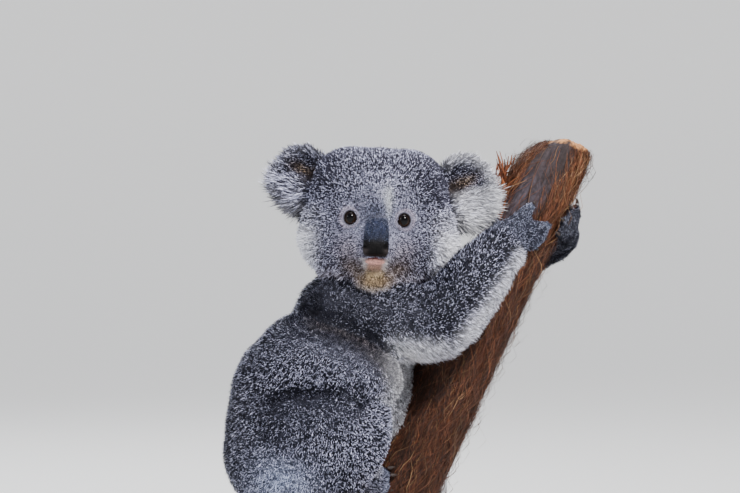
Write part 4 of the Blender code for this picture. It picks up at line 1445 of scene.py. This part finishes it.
def perch_core(finish):
    """The perch without its loose fibres: bark and bare wood, with a flat foot and a domed saw cut."""
    turns = np.arange(BARK_COLUMNS) * 2 * np.pi / BARK_COLUMNS
    share, angle = (grid.ravel() for grid in np.meshgrid(np.linspace(0, 1, BARK_ROWS), turns, indexing="ij"))
    along = share * cut_at(angle)
    worn = -1.2 * step(along, cut_at(angle) - 2.5, cut_at(angle))
    points = by_perch(along, angle, bark_level(along, angle) + worn)
    blocks, faces = [points], [grid_triangles(BARK_ROWS, BARK_COLUMNS, True)]
    for end, row in ((0, points[:BARK_COLUMNS]), (1, points[-BARK_COLUMNS:])):
        centre = row.mean(0)
        inner = []
        for ring in range(1, CUT_RINGS + 1):
            left = 1 - ring / CUT_RINGS
            crack = 0.7 * np.sin(turns * 7 + ring) * left * end
            years = 0.35 * math.sin(ring * 2.4) * end
            dome = DOME * (1 - left**2) * end
            inner.append(centre + (row - centre) * left + PERCH_UP * ((crack + years + dome) * MM)[:, None])
        cap = grid_triangles(CUT_RINGS + 1, BARK_COLUMNS, True) + sum(len(block) for block in blocks)
        faces.append(cap if end else cap[:, ::-1])
        blocks.append(np.concatenate([row, *inner]))
    mesh = triangle_mesh("bark", np.concatenate(blocks), np.concatenate(faces))
    turn_outward(mesh, 0.01 * MM)
    paint(mesh, "bark", core_colour(perch_space(read_points(mesh))))
    ship(place_object("bark", mesh, finish), "bark", "perch_trunk")


def core_colour(place):
    """Colours of the bark's ground, of the bare wood and of the saw cut."""
    along, angle, off = place.T
    way = round_perch(along, angle, 0.09)
    colour = mix(BARK_DARK, BARK_RED, 0.8 * step(waves(way, 3.0, 46), -1.0, 1.6))
    wood = mix(WOOD_GREY * 0.55, WOOD_GREY * 1.3, step(waves(way, 1.8, 47), -1.4, 1.4))
    dark_top = step(along + 4 * waves(way, 9.0, 49), 340, 366) * (0.8 + 0.2 * np.sin(angle * 5))
    wood = mix(wood, WOOD_DARK, 0.8 * dark_top)
    colour = mix(colour, wood, stripped(along, angle))
    ring = 0.5 + 0.5 * np.sin(off * 2.2 + waves(way, 9.0, 48))
    grain = mix(WOOD_PALE * 0.6, WOOD_PALE, ring)
    rim = step(along, cut_at(angle) - 3.0, cut_at(angle) - 1.2)
    chipped = rim * step(waves(way, 5.0, 50), -0.6, 0.4)
    cut = np.maximum(chipped, (off < -5) * rim)
    weathered = step(waves(way, 7.0, 52) - 0.9 * np.sin(angle), -0.5, 0.7)
    return mix(colour, mix(grain, WOOD_DARK * 1.3, 0.8 * weathered), cut)


def fibre_shades(local, along, angle):
    """A colour for each fibre: red-brown, orange or tan, with painted light making it lighter to the right.
    """
    count = len(along)
    base = mix(BARK_DARK, BARK_RED, local.uniform(0, 1, count))
    place = np.stack([along, angle], -1)
    orange = sum(spot(place, *form) for form in ORANGE_SPOTS)
    base = mix(base, BARK_ORANGE, np.clip(local.beta(0.7, 1.9, count) + 0.4 * orange, 0, 1))
    base = mix(base, BARK_TAN, (local.random(count) < 0.06 + 0.2 * orange) * local.uniform(0.4, 0.9, count))
    # painted light on the perch's right side
    sunlit_right = step(np.sin(angle), -0.2, 0.9)
    lock = 0.12 * waves(round_perch(along, angle, 0.15), 7.0, 51)
    return base * np.maximum(0.21 + 0.08 * sunlit_right + lock + 0.02 * orange, 0.07)[:, None]


def fibre_piece(name, finish, along, angle, shades=None, stand=0, roll=0):
    """Loose fibres of the bark as thin ribbons, each bowed and waved a little on its way up the perch."""
    length, width, lift, tangle, curl, seed = FIBRE_KINDS[name]
    local = np.random.default_rng(seed)
    count = len(along)
    bends = local.normal(0, 1, (2, count))
    size = length * local.uniform(0.5, 1.4, count)
    lean = waves(np.stack([along / 30, angle * 1.3, angle * 0], -1), 1.0, seed)
    drift = local.normal(0, tangle, count) + 0.12 * lean
    bow = local.gamma(1.3, lift, count)
    stand = stand * local.uniform(0.3, 1.2, count)
    ripple, phase = local.uniform(0, 0.06, count), local.uniform(0, 6, count)
    half = width * local.uniform(0.5, 1.5, count) / 2
    twist = roll + local.normal(0, 0.5, count)
    base = fibre_shades(local, along, angle) if shades is None else shades
    limit = cut_at(angle) - local.uniform(-1, 5, count)
    rails, colours = [], []
    for k in range(FIBRE_STEPS + 1):
        t = k / FIBRE_STEPS
        here = np.minimum(along + size * t, limit + 0.02 * size * t)
        turn = angle + drift * size * t / 32 + ripple * np.sin(6 * t + phase)
        turn = turn + curl * (bends[0] * t**2 + bends[1] * t**3)
        arch = math.sin(np.pi * min(t * 1.15, 1)) + 1.1 * max(0, t - 0.75) * 3
        rise = 0.2 + bow * arch + stand * t**1.4
        spread = half * math.sin(np.pi * (0.12 + 0.82 * t)) ** 0.6
        across, off = spread * np.cos(twist) / 30, spread * np.sin(twist)
        level = bark_level(np.clip(here, 0, PERCH_LENGTH_MM), turn) + rise
        rails += [by_perch(here, turn - across, level - off), by_perch(here, turn + across, level + off)]
        colours += [base * (0.75 + 0.4 * t)] * 2
    starts = range(0, 2 * FIBRE_STEPS, 2)
    pattern = [(k, k + 1, k + 3) for k in starts] + [(k, k + 3, k + 2) for k in starts]
    triangles = (np.arange(count)[:, None, None] * (2 * FIBRE_STEPS + 2) + np.array(pattern)).reshape(-1, 3)
    mesh = triangle_mesh(name, np.stack(rails, 1).reshape(-1, 3), triangles)
    paint(mesh, "bark", np.stack(colours, 1).reshape(-1, 3))
    ship(place_object(name, mesh, finish), "bark")


def bark_places(count, seed, low=-8.0):
    """Random places on the bark, few of them on the bare wood."""
    local = np.random.default_rng(seed)
    along = local.uniform(low, PERCH_LENGTH_MM - 8, count)
    angle = local.uniform(-np.pi, np.pi, count)
    keep = stripped(along + 14, angle) < local.uniform(0.3, 1.015, count)
    return along[keep], angle[keep]


def bark_fibres(finish):
    for layer in (1, 2):
        fibre_piece(f"bark_fibres_{layer}", finish, *bark_places(FIBRES, 60 + layer))
    # longer strands, most of them standing off the sides
    along, angle = bark_places(STRANDS, 63)
    beside = abs(np.sin(angle)) > np.random.default_rng(66).uniform(0.2, 1.1, len(along))
    fibre_piece("bark_strands", finish, along[beside], angle[beside])
    fibre_piece("bark_rim", finish, *bark_places(RIM_FIBRES, 64, 356))
    local = np.random.default_rng(65)
    for name, (low, high, turn, stand) in TATTER_PLACES.items():
        shades = mix(BARK_RED, BARK_ORANGE, local.random(TATTERS)) * 0.5
        along, angle = local.uniform(low, high, TATTERS), local.normal(turn, 0.22, TATTERS)
        fibre_piece(name, finish, along, angle, shades, stand, math.pi / 2)


# ---------------------------------------------------------------- studio

BACKDROP_GLOW = 0.7
FLOOR_GREY = (0.42, 0.42, 0.415)
FLOOR_COLUMNS = 96
# (radius, height) in metres; the middle is left open
FLOOR_PROFILE = ((0.02, 0.0), (1.2, 0.0), (2.6, 0.0), (4.4, 0.0), (5.2, 0.03), (5.9, 0.14), (6.4, 0.34))
FLOOR_PROFILE += ((6.8, 0.66), (7.0, 1.05), (7.1, 1.6))
SKY_COLOUR = (0.86, 0.9, 1.0, 1)
SKY_STRENGTH = 0.56
LAMP_AIM = (0.02, -0.02, 0.27)
LAMPS = {  # place, size, power, colour
    "key": ((0.8, -1.6, 1.8), 0.3, 100, (1.0, 0.98, 0.95)),
    "fill": ((-1.7, -1.4, 1.2), 0.5, 12, (0.85, 0.9, 1.0)),
    "rim": ((-0.7, 1.3, 1.6), 0.7, 42, (0.95, 0.97, 1.0)),
    "top": ((0.3, -0.1, 2.2), 0.7, 30, (1.0, 1.0, 1.0)),
}
CAMERA_PLACE = (0.0, -1.874, 0.325)
STAND_WOOD = srgb(178, 134, 96)
STAND_STEEL = (0.52, 0.52, 0.54)


def bowl(finish):
    """A pale floor that curves up into a plain backdrop all round."""
    turn = np.arange(FLOOR_COLUMNS) * 2 * np.pi / FLOOR_COLUMNS
    circle = np.stack([np.cos(turn), np.sin(turn), np.ones(FLOOR_COLUMNS)], 1)
    rings = [circle * (radius, radius, height) for radius, height in FLOOR_PROFILE]
    triangles = grid_triangles(len(FLOOR_PROFILE), FLOOR_COLUMNS, True)[:, ::-1]
    made = place_object("floor", triangle_mesh("floor", np.concatenate(rings), triangles), finish)


def lamp(name, place, size, power, colour):
    """A square lamp aimed at the animal."""
    light = bpy.data.lights.new(name, "AREA")
    light.size = size
    light.energy = power
    light.color = colour
    made = add_object(name, light)
    made.location = place
    made.rotation_euler = (Vector(LAMP_AIM) - Vector(place)).to_track_quat("-Z", "Y").to_euler()


def studio():
    made, tree, shader = nodes_of("floor_paper", 0.9, 0.2)
    shade_by(tree, shader, plain(tree, FLOOR_GREY), noise_node(tree, 40), 0.985, 1.015)
    shader.inputs["Emission Color"].default_value = (1, 1, 1, 1)
    shader.inputs["Emission Strength"].default_value = BACKDROP_GLOW
    bowl(made)
    world = bpy.data.worlds.new("studio")
    world.use_nodes = True
    sky = world.node_tree.nodes["Background"].inputs
    sky["Color"].default_value = SKY_COLOUR
    sky["Strength"].default_value = SKY_STRENGTH
    bpy.context.scene.world = world
    for name, settings in LAMPS.items():
        lamp(name, *settings)


def camera():
    lens = bpy.data.cameras.new("camera")
    lens.lens = 105
    lens.sensor_width = 36
    made = add_object("camera", lens)
    made.location = CAMERA_PLACE
    made.rotation_euler = (math.radians(90), 0, 0)
    bpy.context.scene.camera = made


# ---------------------------------------------------------------- the whole


def koala():
    mesh, points, triangles, edges = skin_mesh()
    surface = Surface(points, triangles, edges)
    marks = Markings(surface)
    paint(mesh, "hide", marks.skin_colour())
    mesh.shade_smooth()
    skin = place_object("skin", mesh, painted_finish("skin"))
    maps = unwrap(skin)
    ship(skin, "coat_grey", *FLESH, *EARS)
    grow_coat(surface, lay_of_coat(surface), marks, maps, painted_finish("coat"))
    nose_piece(painted_finish("nose_leather"))
    eye_finish = painted_finish("eye")
    for side in SIDES:
        eye_piece(side, eye_finish)
    horn = painted_finish("horn")
    for node in claws_of(""):
        claw_piece(node, horn)


def perch():
    perch_core(painted_finish("bark"))
    bark_fibres(painted_finish("bark_fibre"))


def stand():
    """Turned base of pale wood with growth rings, and brushed steel rods."""
    wood, tree, shader = nodes_of("stand_wood", 0.42, 0.4)
    grain = noise_node(tree, 9, detail=8, roughness=0.7, stretch=(1, 14, 14))
    shade_by(tree, shader, plain(tree, STAND_WOOD), grain, 0.6, 1.25)
    bump_by(tree, shader, grain, 0.4, 0.2)
    steel, tree, shader = nodes_of("stand_steel", 0.3, metallic=1.0)
    brushed = noise_node(tree, 30, detail=6, stretch=(60, 60, 1))
    shade_by(tree, shader, plain(tree, STAND_STEEL), brushed, 0.8, 1.15)
    bump_by(tree, shader, brushed, 0.4, 0.05)
    for node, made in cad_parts.items():
        if node.startswith("stand_"):
            made.data.materials.clear()
            made.data.materials.append(wood if node == "stand_base" else steel)


koala()
perch()
stand()
studio()
camera()
